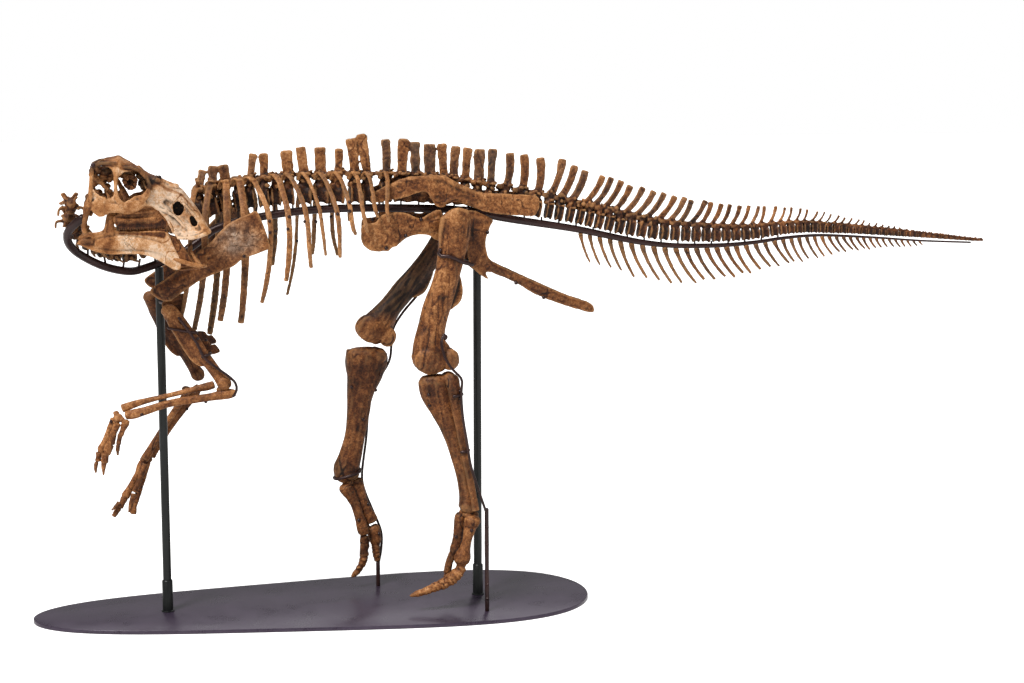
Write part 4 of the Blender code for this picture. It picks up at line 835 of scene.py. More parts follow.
def body(x, length, tone, waist=0.84, grey=0.0):
    """A vertebral body: a spool with raised rims, cut square to the column."""
    slope = (column_z(x + 0.01) - column_z(x - 0.01)) / 0.02
    z, high, wide = column_z(x), body_height(x) / 2, body_half_width(x)
    rows = [(x + s * length, 0, z + s * length * slope, high * g, wide * g)
            for s, g in ((-0.5, 0.97), (-0.40, 1.0), (-0.2, waist + 0.05), (0.0, waist),
                         (0.2, waist + 0.05), (0.40, 1.0), (0.5, 0.97))]
    shells = [loft(rows, step=max(length / 9, 0.002), sides=18, power=2.4, tone=tone, cap=0.06,
                   grey=grey)]
    for s in LEFT, RIGHT:
        rim = [(x + s * length * t, 0, z + s * length * t * slope, high * 1.03, wide * 1.03)
               for t in (0.40, 0.49)]
        shells.append(loft(rim, step=0.002, sides=18, power=2.4, tone=tone + 0.24, cap=0.04,
                           grey=grey))
    return shells


def spine(foot, tip, width, thick, tone, grey, bow=0.0):
    """A blade from its foot to its tip, wider and rougher towards the tip."""
    foot, tip = np.array(foot, float), np.array(tip, float)
    along = tip - foot
    square = np.array((along[2], 0, -along[0])) / np.linalg.norm(along)
    sway = dice.normal(0, 0.0016)
    rows = []
    for s, w, t in ((-0.06, 1.10, 1.5), (0.10, 0.93, 1.2), (0.28, 0.92, 1.0), (0.46, 0.97, 0.9),
                    (0.64, 1.00, 0.85), (0.80, 1.04, 0.95), (0.94, 1.06, 1.05), (1.0, 0.92, 1.0)):
        wobble = 1 + dice.normal(0, 0.05)
        place = foot + along * s + square * bow * math.sin(math.pi * s) + (0, sway * s, 0)
        rows.append((*place, thick * t * 0.5, width * w * wobble * 0.5))
    return loft(rows, across=(1, 0, 0), step=0.005, sides=14, power=3.2, tone=tone, grey=grey,
                cap=0.25)


def arch(x, ahead, behind, tone, wide, grey=0.0):
    """The neural arch: a saddle on the body, with prongs to the next arches and rough lumps."""
    low, top = column_z(x) + body_height(x) * 0.36, arch_z(x)
    size = body_height(x)
    shells = [loft([(x - 0.002, 0, low, 0.40 * ahead, wide * 0.66),
                    (x, 0, 0.5 * (low + top), 0.32 * ahead, wide * 0.50),
                    (x + 0.004, 0, top + size * 0.06, 0.37 * ahead, wide * 0.38)],
                   across=(0, 1, 0), step=0.003, tone=tone, grey=grey, sides=12)]
    for s in LEFT, RIGHT:
        lift = dice.normal(0, 0.0014)
        shells.append(loft([(x, s * wide * 0.26, top - size * 0.02, size * 0.15, size * 0.08),
                            (x - 0.30 * ahead, s * wide * 0.38, top - size * 0.03 + lift,
                             size * 0.14, size * 0.09),
                            (x - 0.54 * ahead, s * wide * 0.42, top + lift * 3, size * 0.11,
                             size * 0.06)], step=0.004, tone=tone + dice.uniform(-0.06, 0.14),
                           sides=8))
        shells.append(loft([(x, s * wide * 0.20, top, size * 0.13, size * 0.08),
                            (x + 0.52 * behind, s * wide * 0.30, top + size * 0.05 + lift,
                             size * 0.085, size * 0.06)], step=0.004, tone=tone + 0.06, sides=8))
        for _ in range(4 if size > 0.050 else 0):
            spot = (x + dice.normal(0, 0.24) * ahead, s * wide * dice.uniform(0.2, 0.95),
                    top + size * dice.uniform(-0.46, 0.20))
            grow = size * dice.uniform(0.07, 0.13)
            shells.append(blob(spot, (grow * dice.uniform(0.8, 1.7), grow, grow), tone=tone
                               + dice.uniform(-0.14, 0.20), turn=(0, dice.uniform(-60, 60), 0)))
    return shells


def wing(x, z, side, reach, rise, size, tone, back=0.0):
    """A process that stands out sideways from an arch."""
    return loft([(x, side * 0.004, z, size * 0.8, size * 1.1),
                 (x + back * 0.5, side * reach * 0.55, z + rise * 0.6, size * 0.55, size * 0.9),
                 (x + back, side * reach, z + rise, size * 0.65, size * 1.15)],
                across=(1, 0, 0), step=0.004, sides=10, tone=tone)


def tail_places():
    places, x = [], TAIL_FIRST
    while x < TAIL_LAST:
        places.append(x)
        x += float(at(TAIL_PITCH, x))
    return places


def make_tail():
    places = [row[0] for row in TAIL_ROOT_VERTEBRAE] + tail_places()
    count = len(places)
    parts = {"tail_base": [], "tail_middle": [], "tail_end": []}
    for i, x in enumerate(places):
        name = "tail_base" if x < TAIL_SPLITS[0] else (
            "tail_middle" if x < TAIL_SPLITS[1] else "tail_end")
        shells = parts[name]
        ahead = x - places[i - 1] if i else 0.046
        behind = places[i + 1] - x if i + 1 < count else ahead
        pitch = min(ahead, behind)
        fine = float(at(TAIL_FINE, x))
        tone = 0.18 + dice.uniform(-0.05, 0.08) + float(at(TAIL_PALER, x))
        shells += body(x, pitch - float(at(BODY_GAP, x)), tone, 0.82)
        wide = body_half_width(x)
        tint = dice.choice((0.0, 0.0, 0.2, 0.5))
        shells += arch(x, ahead, behind, tone + 0.14, wide, tint)
        if i < len(TAIL_ROOT_VERTEBRAE):
            _, tip_x, tip_z, width, shade, grey = TAIL_ROOT_VERTEBRAE[i]
            foot_x = x + 0.006
        else:
            tip_x = x + float(at(SPINE_LEAN, x))
            tip_z = float(at(SPINE_TOP, tip_x))
            width, foot_x = float(at(SPINE_WIDTH, x)), x + float(at(SPINE_BACK, x)) * 0.8
            shade, grey = 0.42 + dice.uniform(-0.13, 0.14), dice.choice((0.0, 0.0, 0.0, 0.4, 0.9))
            tip_z += dice.normal(0, 0.0026) * fine
            tip_x += dice.normal(0, 0.0042) * fine
        width = max(width * float(at(SPINE_GROW, x)), 0.0026)
        shells.append(spine((foot_x, 0, arch_z(x) - 0.002 * fine), (tip_x, 0, tip_z), width,
                            float(at(SPINE_THICK, x)), shade, grey, 0.0058 * fine))
        if x < WING_LAST:
            for side in LEFT, RIGHT:
                shells.append(wing(x, column_z(x) + body_height(x) * 0.30, side,
                                   float(at(WING_REACH, x)), 0.004, 0.0055, tone + 0.1, 0.006))
        if TAIL_FIRST <= x < CHEVRON_LAST:
            shells += chevron(x, fine)
    for name, voxel, rough, smooth in (("tail_base", 0.0025, 0.8, 2),
                                       ("tail_middle", 0.0019, 0.8, 2),
                                       ("tail_end", 0.0014, 0.35, 1)):
        bone(name + "_bones", [name], parts[name], voxel, rough=rough, smooth=smooth)


def chevron(x, fine):
    """A curved blade that hangs from the underside of the rail, with a swollen head."""
    drop_x = float(at(CHEVRON_LEAN, x))
    tip_x = x + drop_x + dice.normal(0, 0.0030) * fine
    low = float(at(CHEVRON_LOW, tip_x)) + dice.normal(0, 0.0040) * fine
    rail = float(at([(r[0], r[2]) for r in TUBE], x))
    half = float(at(CHEVRON_HALF, x))
    tone, grey = 0.36 + dice.uniform(-0.12, 0.12), dice.choice((0.0, 0.0, 0.0, 0.6))
    start = np.array((x + drop_x * 0.02, 0, tube_z(x) - rail + 0.0012))
    end = np.array((tip_x, 0, low + half))
    rows = []
    for s, w in ((0.0, 1.40), (0.10, 1.50), (0.22, 1.20), (0.45, 1.00), (0.75, 0.92), (1.0, 0.75)):
        spot = start + (end - start) * s
        spot[0] -= drop_x * 0.13 * math.sin(math.pi * s)
        rows.append((*spot, half * w * 0.70, half * w))
    return [loft(rows, across=(1, 0, 0), step=0.003, sides=10, power=2.2, tone=tone, grey=grey)]


def make_sacrum():
    shells = []
    places = [row[0] for row in SACRAL_VERTEBRAE]
    for i, (x, tip_x, tip_z, width, tone, grey) in enumerate(SACRAL_VERTEBRAE):
        ahead = x - places[i - 1] if i else 0.044
        behind = places[i + 1] - x if i + 1 < len(places) else 0.040
        shells += body(x, (ahead + behind) / 2 - 0.002, 0.28, 0.86)
        shells += arch(x, ahead, behind, 0.36, body_half_width(x))
        shells.append(spine((x + 0.003, 0, arch_z(x) - 0.004), (tip_x, 0, tip_z), width, 0.0095,
                            tone, grey, -0.001))
        for side in LEFT, RIGHT:
            z = column_z(x) + 0.014
            shells.append(loft([(x, side * 0.012, z, 0.011, 0.008),
                                (x, side * 0.040, z, 0.008, 0.007),
                                (x, side * 0.052, z, 0.012, 0.010)], across=(1, 0, 0), sides=10,
                               tone=0.35))
            shells.append(wing(x, arch_z(x) - 0.004, side, 0.036, 0.006, 0.0078, 0.40,
                               dice.normal(0, 0.004)))
    bone("sacrum_bones", ["sacrum"], shells, 0.0026)


# ------------------------------------------------------------------ trunk
CAGE = milli((
    (820, 140), (880, 148), (1045, 167), (1137, 171), (1209, 158), (1267, 134), (1322, 85),
    (1352, 40), (1360, 22)
))
CAGE_WIDTH = ((-0.400, 0.70), (-0.200, 0.74), (-0.150, 0.84), (-0.080, 1.0), (0.060, 1.0),
              (0.250, 0.87))
# Vertebra, width, (X at mid-height, X and Z of the tip) of the left rib and of the right one,
# tone above and below, grey
RIBS = (
    (0, 0.016, (-0.368, -0.401, 0.928), (-0.355, -0.360, 1.090), 0.50, 0.36, 0.0),
    (1, 0.021, (-0.325, -0.363, 0.897), (-0.310, -0.315, 1.080), 0.46, 0.34, 0.3),
    (2, 0.024, (-0.259, -0.286, 0.923), (-0.272, -0.308, 0.853), 0.56, 0.36, 0.0),
    (3, 0.024, (-0.207, -0.225, 0.915), (-0.205, -0.215, 1.120), 0.60, 0.44, 0.1),
    (4, 0.018, (-0.134, -0.163, 0.976), (-0.155, -0.160, 1.215), 0.60, 0.56, 0.0),
    (6, 0.020, (-0.080, -0.093, 1.044), (-0.096, -0.108, 1.057), 0.57, 0.60, 0.0),
    (7, 0.017, (-0.025, -0.019, 1.082), (-0.060, -0.060, 1.230), 0.50, 0.56, 0.1),
    (8, 0.013, (0.017, 0.025, 1.117), (-0.028, -0.063, 0.962), 0.56, 0.50, 0.1),
    (9, 0.016, (0.067, 0.067, 1.110), (0.026, 0.020, 1.085), 0.46, 0.52, 0.1),
    (10, 0.015, (0.108, 0.117, 1.176), (0.080, 0.098, 1.082), 0.52, 0.50, 0.0),
    (11, 0.015, (0.142, 0.151, 1.183), (0.130, 0.135, 1.190), 0.60, 0.56, 0.0),
    (12, 0.014, (0.180, 0.187, 1.226), (0.176, 0.180, 1.235), 0.60, 0.56, 0.0),
    (13, 0.014, (0.213, 0.217, 1.211), (0.222, 0.225, 1.235), 0.56, 0.54, 0.0),
)


def rib(row, side):
    number, width = row[:2]
    mid_x, tip_x, tip_z = row[2] if side == LEFT else row[3]
    high, low, grey = row[4:]
    # The right (far) ribs are toned darker: painted shade behind the body
    if side == RIGHT:
        high, low, grey = 0.22, 0.16, 0.2
    head_x = TRUNK_VERTEBRAE[number][0]
    top = arch_z(head_x) + 0.006
    rows = [(head_x - 0.020, side * 0.012, top - 0.020, 0.0052, width * 0.34),
            (head_x - 0.010, side * 0.034, top + 0.002, 0.0050, width * 0.40)]
    for z in (1.336, 1.318, 1.290, 1.250, 1.200):
        if z < tip_z + 0.02:
            break
        share = (1.352 - z) / (1.352 - 1.200)
        x = head_x + (mid_x - head_x) * math.sin(share * math.pi / 2)
        y = float(at(CAGE, z)) * float(at(CAGE_WIDTH, x))
        rows.append((x, side * y, min(z, top), 0.0042, width * 0.5))
    if tip_z < 1.18:
        steps = max(1, round((1.200 - tip_z) / 0.06))
        for k in range(1, steps + 1):
            share = k / steps
            x = mid_x + (tip_x - mid_x) * share ** 2
            z = 1.200 + (tip_z - 1.200) * share
            y = float(at(CAGE, z)) * float(at(CAGE_WIDTH, x))
            swell = 1.0 + dice.normal(0, 0.035) - 0.22 * share ** 4
            rows.append((x, side * y, z, 0.0040, width * 0.5 * swell))
    else:
        y = float(at(CAGE, tip_z)) * float(at(CAGE_WIDTH, tip_x))
        rows.append((tip_x, side * y, tip_z, 0.0036, width * 0.40))
    split = max(2, len(rows) * 2 // 3)
    shells = [loft(rows[:split + 1], across=(1, 0, 0), sides=14, power=2.4, tone=high, grey=grey),
              loft(rows[split:], across=(1, 0, 0), sides=14, power=2.4, tone=low, grey=grey)]
    # The second head of the rib rests on the side process
    shells.append(loft([(head_x, side * 0.030, top + 0.001, 0.005, width * 0.42),
                        (head_x + (mid_x - head_x) * 0.2, side * 0.058, 1.336, 0.0045,
                         width * 0.46)], across=(1, 0, 0), sides=10, tone=high, grey=grey))
    return shells


def make_trunk():
    places = [row[0] for row in TRUNK_VERTEBRAE]
    shells = []
    for i, (x, tip_x, tip_z, width, tone, grey) in enumerate(TRUNK_VERTEBRAE):
        ahead = x - places[i - 1] if i else 0.040
        behind = places[i + 1] - x if i + 1 < len(places) else 0.042
        length = min(ahead, behind) - 0.007 + dice.uniform(-0.002, 0.002)
        # The bodies, arches and side processes are toned dark: painted shade for their place
        # inside the ribcage
        shade = 0.20 + dice.uniform(-0.05, 0.06)
        shells += body(x, length, shade, 0.80)
        shells += arch(x, ahead, behind, shade + 0.12, body_half_width(x))
        if width:
            shells.append(spine((x + 0.002, 0, arch_z(x) - 0.006), (tip_x, 0, tip_z), width,
                                0.0098, tone, grey, dice.normal(0, 0.0015)))
        for side in LEFT, RIGHT:
            shells.append(wing(x + 0.004, arch_z(x) - 0.005, side, 0.052 + dice.normal(0, 0.003),
                               0.009 + dice.normal(0, 0.003), 0.0078, shade + 0.22,
                               dice.normal(0.002, 0.005)))
            if dice.random() < 0.6:
                shells.append(wing(x + 0.012, arch_z(x) + 0.004, side, 0.018,
                                   0.012 + dice.normal(0, 0.004), 0.0056, shade + 0.16,
                                   dice.normal(0.008, 0.006)))
    bone("trunk_vertebrae", ["trunk_left", "trunk_right"], shells, 0.0027, rough=1.1)

    def paint(co, shade):
        shade[:, 0] += 0.11 * np.clip(lumps(co, 0.060, 61), -1, 1)
        shade[:, 1] += 0.5 * np.clip(lumps(co, 0.050, 62), 0, 1)
        return shade
    for side in LEFT, RIGHT:
        shells = [shell for row in RIBS for shell in rib(row, side)]
        bone("ribs_" + SIDE_NAMES[side], ["trunk_" + SIDE_NAMES[side]], shells,
             0.0026 if side == LEFT else 0.0030, rough=0.8,
             paint=paint)


NECK_LINE = milli((
    (-378, 0, 1236, 26), (-418, -2, 1200, 25), (-456, -6, 1160, 24), (-498, -14, 1126, 22),
    (-545, -28, 1113, 21), (-590, -50, 1119, 21), (-634, -78, 1138, 22), (-672, -106, 1166, 24),
    (-700, -138, 1200, 26), (-715, -172, 1236, 28), (-707, -207, 1277, 28)
))


def make_neck():
    line = np.array(NECK_LINE)
    shells = []
    for i, (x, y, z, full) in enumerate(NECK_LINE):
        place = np.array((x, y, z))
        ahead = line[min(i + 1, len(line) - 1), :3] - line[max(i - 1, 0), :3]
        ahead /= np.linalg.norm(ahead)
        side = np.cross(ahead, (0, 0, 1))
        side /= np.linalg.norm(side)
        up = np.cross(side, ahead)
        late = max(0.0, (i - 7) / 3)
        tone = 0.24 + 0.20 * late + dice.uniform(-0.03, 0.03)
        slim = 1 - 0.38 * min(late, 1.0)
        shells.append(loft([(*(place + ahead * s * 0.036), full * g * slim, full * g * slim)
                            for s, g in ((-0.5, 0.80), (-0.35, 0.86), (0, 0.62), (0.35, 0.86),
                                         (0.5, 0.74))],
                           across=side, step=0.004, sides=14, tone=tone, cap=0.2))
        crown = place + up * (full * 0.75 + 0.006)
        shells.append(loft([(*(place + up * full * 0.4), 0.013, full * 0.6),
                            (*crown, 0.011, full * 0.42)], across=side, step=0.004, tone=tone))
        shells.append(loft([(*crown, 0.010, 0.005), (*(crown + up * 0.014 - ahead * 0.006), 0.007,
                                                     0.0036)],
                           across=side, step=0.004, tone=tone + 0.1, power=2.6))
        # The first vertebrae behind the head are lacy, with many thin prongs
        for _ in range(round(6 * late)):
            way = side * dice.normal() + up * dice.normal() + ahead * 0.3 * dice.normal()
            way /= np.linalg.norm(way)
            foot = place + way * full * 0.4 + ahead * dice.uniform(-0.014, 0.014)
            end = foot + way * dice.uniform(0.010, 0.020)
            knee = (foot + end) / 2 + dice.normal(0, 0.003, 3)
            shells.append(loft([(*foot, 0.0060, 0.0046), (*knee, 0.0044, 0.0036),
                                (*end, 0.0048, 0.0038)], across=ahead, step=0.004, sides=10,
                               tone=tone + dice.uniform(-0.12, 0.22)))
        for s in LEFT, RIGHT:
            out = side * s
            for way, rise, reach in ((1, 0.004, 0.026), (-1, 0.010, 0.026)):
                end = crown + ahead * way * 0.024 + out * reach * 0.8 + up * rise
                shells.append(loft([(*(crown - up * 0.004 + out * 0.006), 0.006, 0.007),
                                    (*end, 0.0045, 0.0075)], across=side, step=0.004, sides=10,
                                   tone=tone + 0.06))
            end = place - ahead * 0.018 + out * (full + 0.009) - up * 0.016
            shells.append(loft([(*(place + out * full * 0.5 - up * 0.002), 0.006, 0.006),
                                (*(place + out * (full + 0.006) - up * 0.008), 0.0040, 0.0050),
                                (*end, 0.0030, 0.0030)], across=ahead, step=0.004, sides=10,
                               tone=tone + 0.04))
    bone("neck_vertebrae", ["neck"], shells, 0.0022, rough=1.0)


# ------------------------------------------------------------------ limbs
def forward_of(along):
    forward = np.cross(along / np.linalg.norm(along), (0, 1, 0))
    forward /= np.linalg.norm(forward)
    return -forward if forward[0] > 0 else forward


def long_bone(profile, start, end, slim=1.0, bend=1.0, tone=0.5, grey=0.0, power=2.15):
    """A long bone between two joints.  Rows of the profile are (share of the length, shift
    forwards, half width seen from the side, half thickness)."""
    start, end = np.array(start), np.array(end)
    along = end - start
    forward = forward_of(along)
    rows = [(*(start + along * share + forward * shift * bend), width * slim, thick)
            for share, shift, width, thick in profile]
    return loft(rows, step=0.008, sides=24, power=power, tone=tone, grey=grey)


FEMUR = milli((
    (15, -4, 28, 23), (50, -6, 45, 28), (160, -8, 48, 26), (300, -7, 42, 26), (450, 0, 39, 27),
    (600, 14, 42, 29), (740, 21, 43, 31), (820, 20, 50, 36), (890, 10, 62, 38), (950, 6, 56, 36),
    (985, 4, 40, 30)
))
TIBIA = milli({
    LEFT: (
        (10, 2, 52, 31), (40, 5, 60, 35), (120, 11, 54, 31), (240, 5, 42, 26), (420, -4, 30, 21),
        (700, -8, 23, 20), (860, -6, 25, 26), (950, -1, 29, 32), (990, 0, 24, 27)
    ),
    RIGHT: (
        (10, 0, 58, 31), (60, -2, 67, 37), (170, -3, 60, 32), (330, 2, 43, 26),
        (500, -1, 36, 22), (660, -1, 33, 21), (820, 4, 37, 26), (930, 10, 43, 32),
        (990, -1, 32, 27)
    ),
})
HUMERUS = milli((
    (10, 0, 18, 16), (60, 0, 24, 18), (300, 3, 26, 13), (500, 2, 23, 13), (620, 0, 18, 14),
    (860, 0, 18, 17), (950, 0, 22, 23), (990, 0, 16, 20)
))
FIBULA = milli((
    (0, 36, 41, 15), (40, 34, 44, 22), (120, 33, 45, 20), (280, 27, 38, 14.5),
    (450, 24, 34, 12.5), (600, 22.5, 32, 11.8), (760, 20, 36, 10.8), (900, 17, 41, 10.8),
    (975, 14, 46, 12)
))
FEMUR_HEAD = {LEFT: 0.052, RIGHT: 0.036}
LEG = {
    LEFT: {"hip": (0.425, -0.112, 1.243), "knee": (0.347, -0.135, 0.753),
           "shin": (0.364, -0.135, 0.740), "ankle": (0.457, -0.155, 0.318)},
    RIGHT: {"hip": (0.476, 0.116, 1.195), "knee": (0.187, 0.135, 0.817),
            "shin": (0.184, 0.135, 0.788), "ankle": (0.120, 0.149, 0.368)},
}
ARM = {
    LEFT: {"shoulder": (-0.441, -0.128, 0.968), "elbow": (-0.271, -0.150, 0.730)},
    RIGHT: {"shoulder": (-0.488, 0.122, 0.980), "elbow": (-0.337, 0.145, 0.708)},
}


def make_femora():
    for side in LEFT, RIGHT:
        hip, knee = np.array(LEG[side]["hip"]), np.array(LEG[side]["knee"])
        slim, bend = (1.0, 1.0) if side == LEFT else (0.85, 0.3)
        # The right (far) femur is toned dark and grey: painted shade of the body over it
        tone, grey = (0.53, 0.0) if side == LEFT else (0.22, 0.55)
        along = knee - hip
        forward = forward_of(along)
        out = np.array((0, side, 0))
        shells = [long_bone(FEMUR, hip, knee, slim, bend, tone, grey)]
        neck = hip + along * 0.065
        reach = FEMUR_HEAD[side]
        shells.append(loft([(*neck, 0.024, 0.024),
                            (*(neck - out * (reach - 0.026)), 0.020, 0.020)],
                           across=(1, 0, 0), sides=18, power=2, tone=tone, grey=grey))
        shells.append(blob(neck - out * (reach - 0.016), (0.024, 0.017, 0.024), tone=tone - 0.08,
                           grey=grey, rings=12, sides=20))
        # Great trochanter: a broad rough lip on the outside of the top
        crown = hip + along * 0.012
        shells.append(loft([(*(crown - forward * 0.036 * slim + out * 0.008), 0.012, 0.012),
                            (*(crown + out * 0.013), 0.013, 0.013),
                            (*(crown + forward * 0.026 * slim + along * 0.05 + out * 0.010), 0.013,
                             0.012)], across=out, sides=14, tone=tone + 0.05, grey=grey))
        shells.append(loft([(*(hip + along * 0.06 + forward * 0.034 * slim + out * 0.012), 0.010,
                             0.010),
                            (*(hip + along * 0.16 + forward * 0.036 * slim + out * 0.012), 0.008,
                             0.009),
                            (*(hip + along * 0.26 + forward * 0.028 * slim + out * 0.010), 0.004,
                             0.006)], across=out, tone=tone, grey=grey))
        # Fourth trochanter, the crest behind the shaft
        crest = [hip + along * t - forward * b * slim for t, b in
                 ((0.33, 0.022), (0.38, 0.040), (0.43, 0.052), (0.50, 0.060), (0.555, 0.056),
                  (0.60, 0.036), (0.63, 0.012), (0.50, 0.016))]
        level = hip[1] + along[1] * 0.5 - side * 0.010
        shells.append(shifted(plate([(p[0], p[2]) for p in crest], 0.011, tone + 0.04, grey),
                           (0, level, 0)))
        # Two condyles with a groove between them, each with a lobe behind
        end = knee - along * 0.075
        for way in LEFT, RIGHT:
            spot = end + out * way * 0.0235
            shells.append(blob(spot + forward * 0.014, (0.050, 0.0205, 0.044), tone=tone - 0.05,
                               grey=grey * 0.4, rings=14, sides=22))
            shells.append(blob(spot - forward * 0.046 * slim - along * 0.018,
                               (0.028, 0.0165, 0.033), tone=tone + 0.03, grey=grey * 0.3, rings=14,
                               sides=22))
        if side == LEFT:
            def paint(co, shade):
                low = np.clip((0.90 - co[:, 2]) / 0.08, 0, 1)
                shade[:, 0] -= 0.05 * low
                line = np.abs(lumps(co * (1, 1, 0.16), 0.012, 8))
                shade[:, 0] -= 0.24 * np.clip(1 - line / 0.10, 0, 1) * (1 - low)
                return shade
        else:
            # The right femur's painted shade stops near the knee, where it turns lighter and warm
            def paint(co, shade):
                low = np.clip((0.915 - co[:, 2]) / 0.04, 0, 1)
                shade[:, 0] += 0.34 * low
                shade[:, 1] *= 1 - low
                return shade
        node = f"femur_{SIDE_NAMES[side]}"
        bone(node + "_bone", [node], shells, 0.0032, rough=1.4, grain=along, paint=paint)


def make_shins():
    for side in LEFT, RIGHT:
        shin, ankle = np.array(LEG[side]["shin"]), np.array(LEG[side]["ankle"])
        tone = 0.38 if side == LEFT else 0.36
        along = ankle - shin
        forward = forward_of(along)
        back, out = -forward, np.array((0, side, 0))
        wide = 1.0 if side == LEFT else 1.12
        shells = [long_bone(TIBIA[side], shin, ankle, tone=tone)]
        # Lobes of the upper end, with the crest in front
        for way in LEFT, RIGHT:
            shells.append(blob(shin + along * 0.045 + back * 0.030 * wide + out * way * 0.017,
                               (0.027 * wide, 0.019, 0.024), tone=tone + 0.04, rings=12, sides=18))
        shells.append(loft([(*(shin + along * 0.03 + forward * 0.046 * wide + out * 0.012), 0.013,
                             0.012),
                            (*(shin + along * 0.14 + forward * 0.046 * wide + out * 0.010), 0.010,
                             0.010),
                            (*(shin + along * 0.30 + forward * 0.026 * wide + out * 0.006), 0.006,
                             0.008)], across=out, tone=tone + 0.06))
        # Two lobes of the lower end
        for way, size in ((LEFT, 1.0), (RIGHT, 0.92)):
            spot = shin + along * 0.955 + out * way * 0.017
            shells.append(blob(spot, (0.029 * wide * size, 0.017, 0.020), tone=tone - 0.05,
                               rings=12, sides=18))
        node = f"tibia_{SIDE_NAMES[side]}"
        bone(node + "_bone", [node], shells, 0.0030, rough=1.2, grain=along)
        rows = [(*(shin + along * t + back * b + out * y), w, w * 0.6) for t, b, y, w in FIBULA]
        shells = [loft(rows, across=out, sides=18, tone=tone + 0.02)]
        shells.append(blob(shin + along * 0.05 + back * 0.041 + out * 0.0455,
                           (0.017, 0.009, 0.021), tone=tone, rings=12, sides=18))
        node = f"fibula_{SIDE_NAMES[side]}"
        bone(node + "_bone", [node], shells, 0.0022, rough=0.9, grain=along)


def joint_run(rows, tone, flat, gap, waist):
    """Bones end to end through rows of (x, y, z, half width), each swollen at its ends; the
    last is a claw."""
    rows = np.array(rows)
    shells = []
    for i in range(len(rows) - 1):
        a, b = rows[i], rows[i + 1]
        along = b[:3] - a[:3]
        length = np.linalg.norm(along)
        trim = gap / length / 2
        last = i == len(rows) - 2
        radius = (a[3] + b[3]) / 2
        profile = (((0.0, 0.92), (0.10, 1.0), (0.30, 0.86), (0.70, 0.55), (0.95, 0.24)) if last
                   else ((0.0, 0.94), (0.13, 1.02), (0.32, waist + 0.06), (0.5, waist),
                         (0.70, waist + 0.06), (0.88, 1.04), (1.0, 0.92)))
        path = []
        for s, grow in profile:
            base = a[3] + (b[3] - a[3]) * s if not last else a[3]
            spot = a[:3] + along * (trim + s * (1 - 2 * trim))
            path.append((*spot, base * grow, base * grow * flat))
        shade = tone + dice.uniform(-0.05, 0.06)
        shells.append(loft(path, step=max(0.0035, radius * 0.3), sides=16, power=2.1, tone=shade,
                           cap=0.3))
    return shells


def shaft(rows, tone, flat=0.88):
    """One bone through rows of (x, y, z, half width)."""
    return loft([(*row, row[3] * flat) for row in rows], sides=18, step=0.004, power=2.1,
                tone=tone, cap=0.3)


# Long bones of each foot, then its toes: the tone of each, and its places with a half width
FOOT_BONES = milli({
    LEFT: (
        (620, (466, -174, 307, 19), (463, -174, 296, 26), (455, -174, 272, 20),
         (446, -173, 234, 14.5), (439, -173, 208, 17), (433, -172, 184, 25), (429, -172, 168, 24),
         (427, -172, 156, 15)),
        (400, (432, -143, 312, 14), (430, -143, 298, 17.5), (425, -143, 255, 16),
         (419, -143, 218, 16.5), (414, -143, 194, 18.5), (411, -143, 184, 12)),
        (340, (478, -122, 304, 13), (470, -121, 285, 15), (458, -119, 220, 12),
         (448, -118, 172, 15)),
        (460, (407, -141, 184, 13), (397, -140, 160, 11.5), (390, -138, 130, 12.5),
         (388, -137, 120, 8))
    ),
    RIGHT: (
        (460, (106, 134, 352, 17), (110, 134, 343, 21.5), (128, 133, 315, 17.5),
         (143, 132, 280, 15), (155, 132, 240, 16), (163, 132, 208, 19), (169, 132, 192, 15)),
        (440, (144, 156, 358, 19), (146, 156, 347, 25.5), (156, 156, 318, 21.5),
         (170, 157, 280, 19), (186, 158, 244, 21.5), (194, 158, 227, 23.5)),
        (520, (195, 158, 206, 20), (199, 158, 198, 23), (203, 158, 180, 21.5),
         (206, 158, 164, 20.5), (207, 158, 152, 15)),
        (360, (130, 180, 352, 15), (160, 181, 262, 12.5), (184, 182, 182, 15)),
        (400, (168, 136, 184, 14), (166, 136, 168, 12.5), (166, 137, 140, 13),
         (167, 138, 121, 15.5))
    ),
})
TOES = milli({
    LEFT: (
        (600, (430, -172, 150, 16.5), (415, -172, 128, 20), (396, -172, 113, 20.5),
         (371, -171, 99, 18), (347, -170, 89, 15.5), (322, -169, 80, 13), (298, -168, 72, 10.5),
         (266, -166, 64, 6)),
        (380, (446, -117, 154, 13), (436, -116, 126, 12), (412, -114, 100, 10),
         (384, -112, 82, 5)),
        (420, (389, -137, 118, 10), (380, -137, 98, 8.5), (366, -136, 82, 4.5))
    ),
    RIGHT: (
        (420, (167, 138, 117, 14), (164, 138, 104, 13.5), (160, 139, 92, 12.5),
         (152, 139, 79, 12), (143, 140, 65, 10.5), (124, 142, 48, 5)),
        (380, (207, 158, 149, 15), (208, 158, 137, 14.5), (209, 158, 125, 14),
         (209, 158, 113, 13), (211, 158, 101, 11), (214, 158, 89, 9)),
        (360, (182, 183, 170, 13), (178, 185, 132, 11), (166, 186, 104, 5))
    ),
})


# Small ankle bones: place, half size, tone
ANKLE = milli({
    LEFT: ((448, -166, 314, 16, 500), (470, -156, 312, 17, 460), (440, -148, 318, 14, 400)),
    RIGHT: ((118, 142, 358, 19, 400), (150, 152, 362, 18, 360)),
})


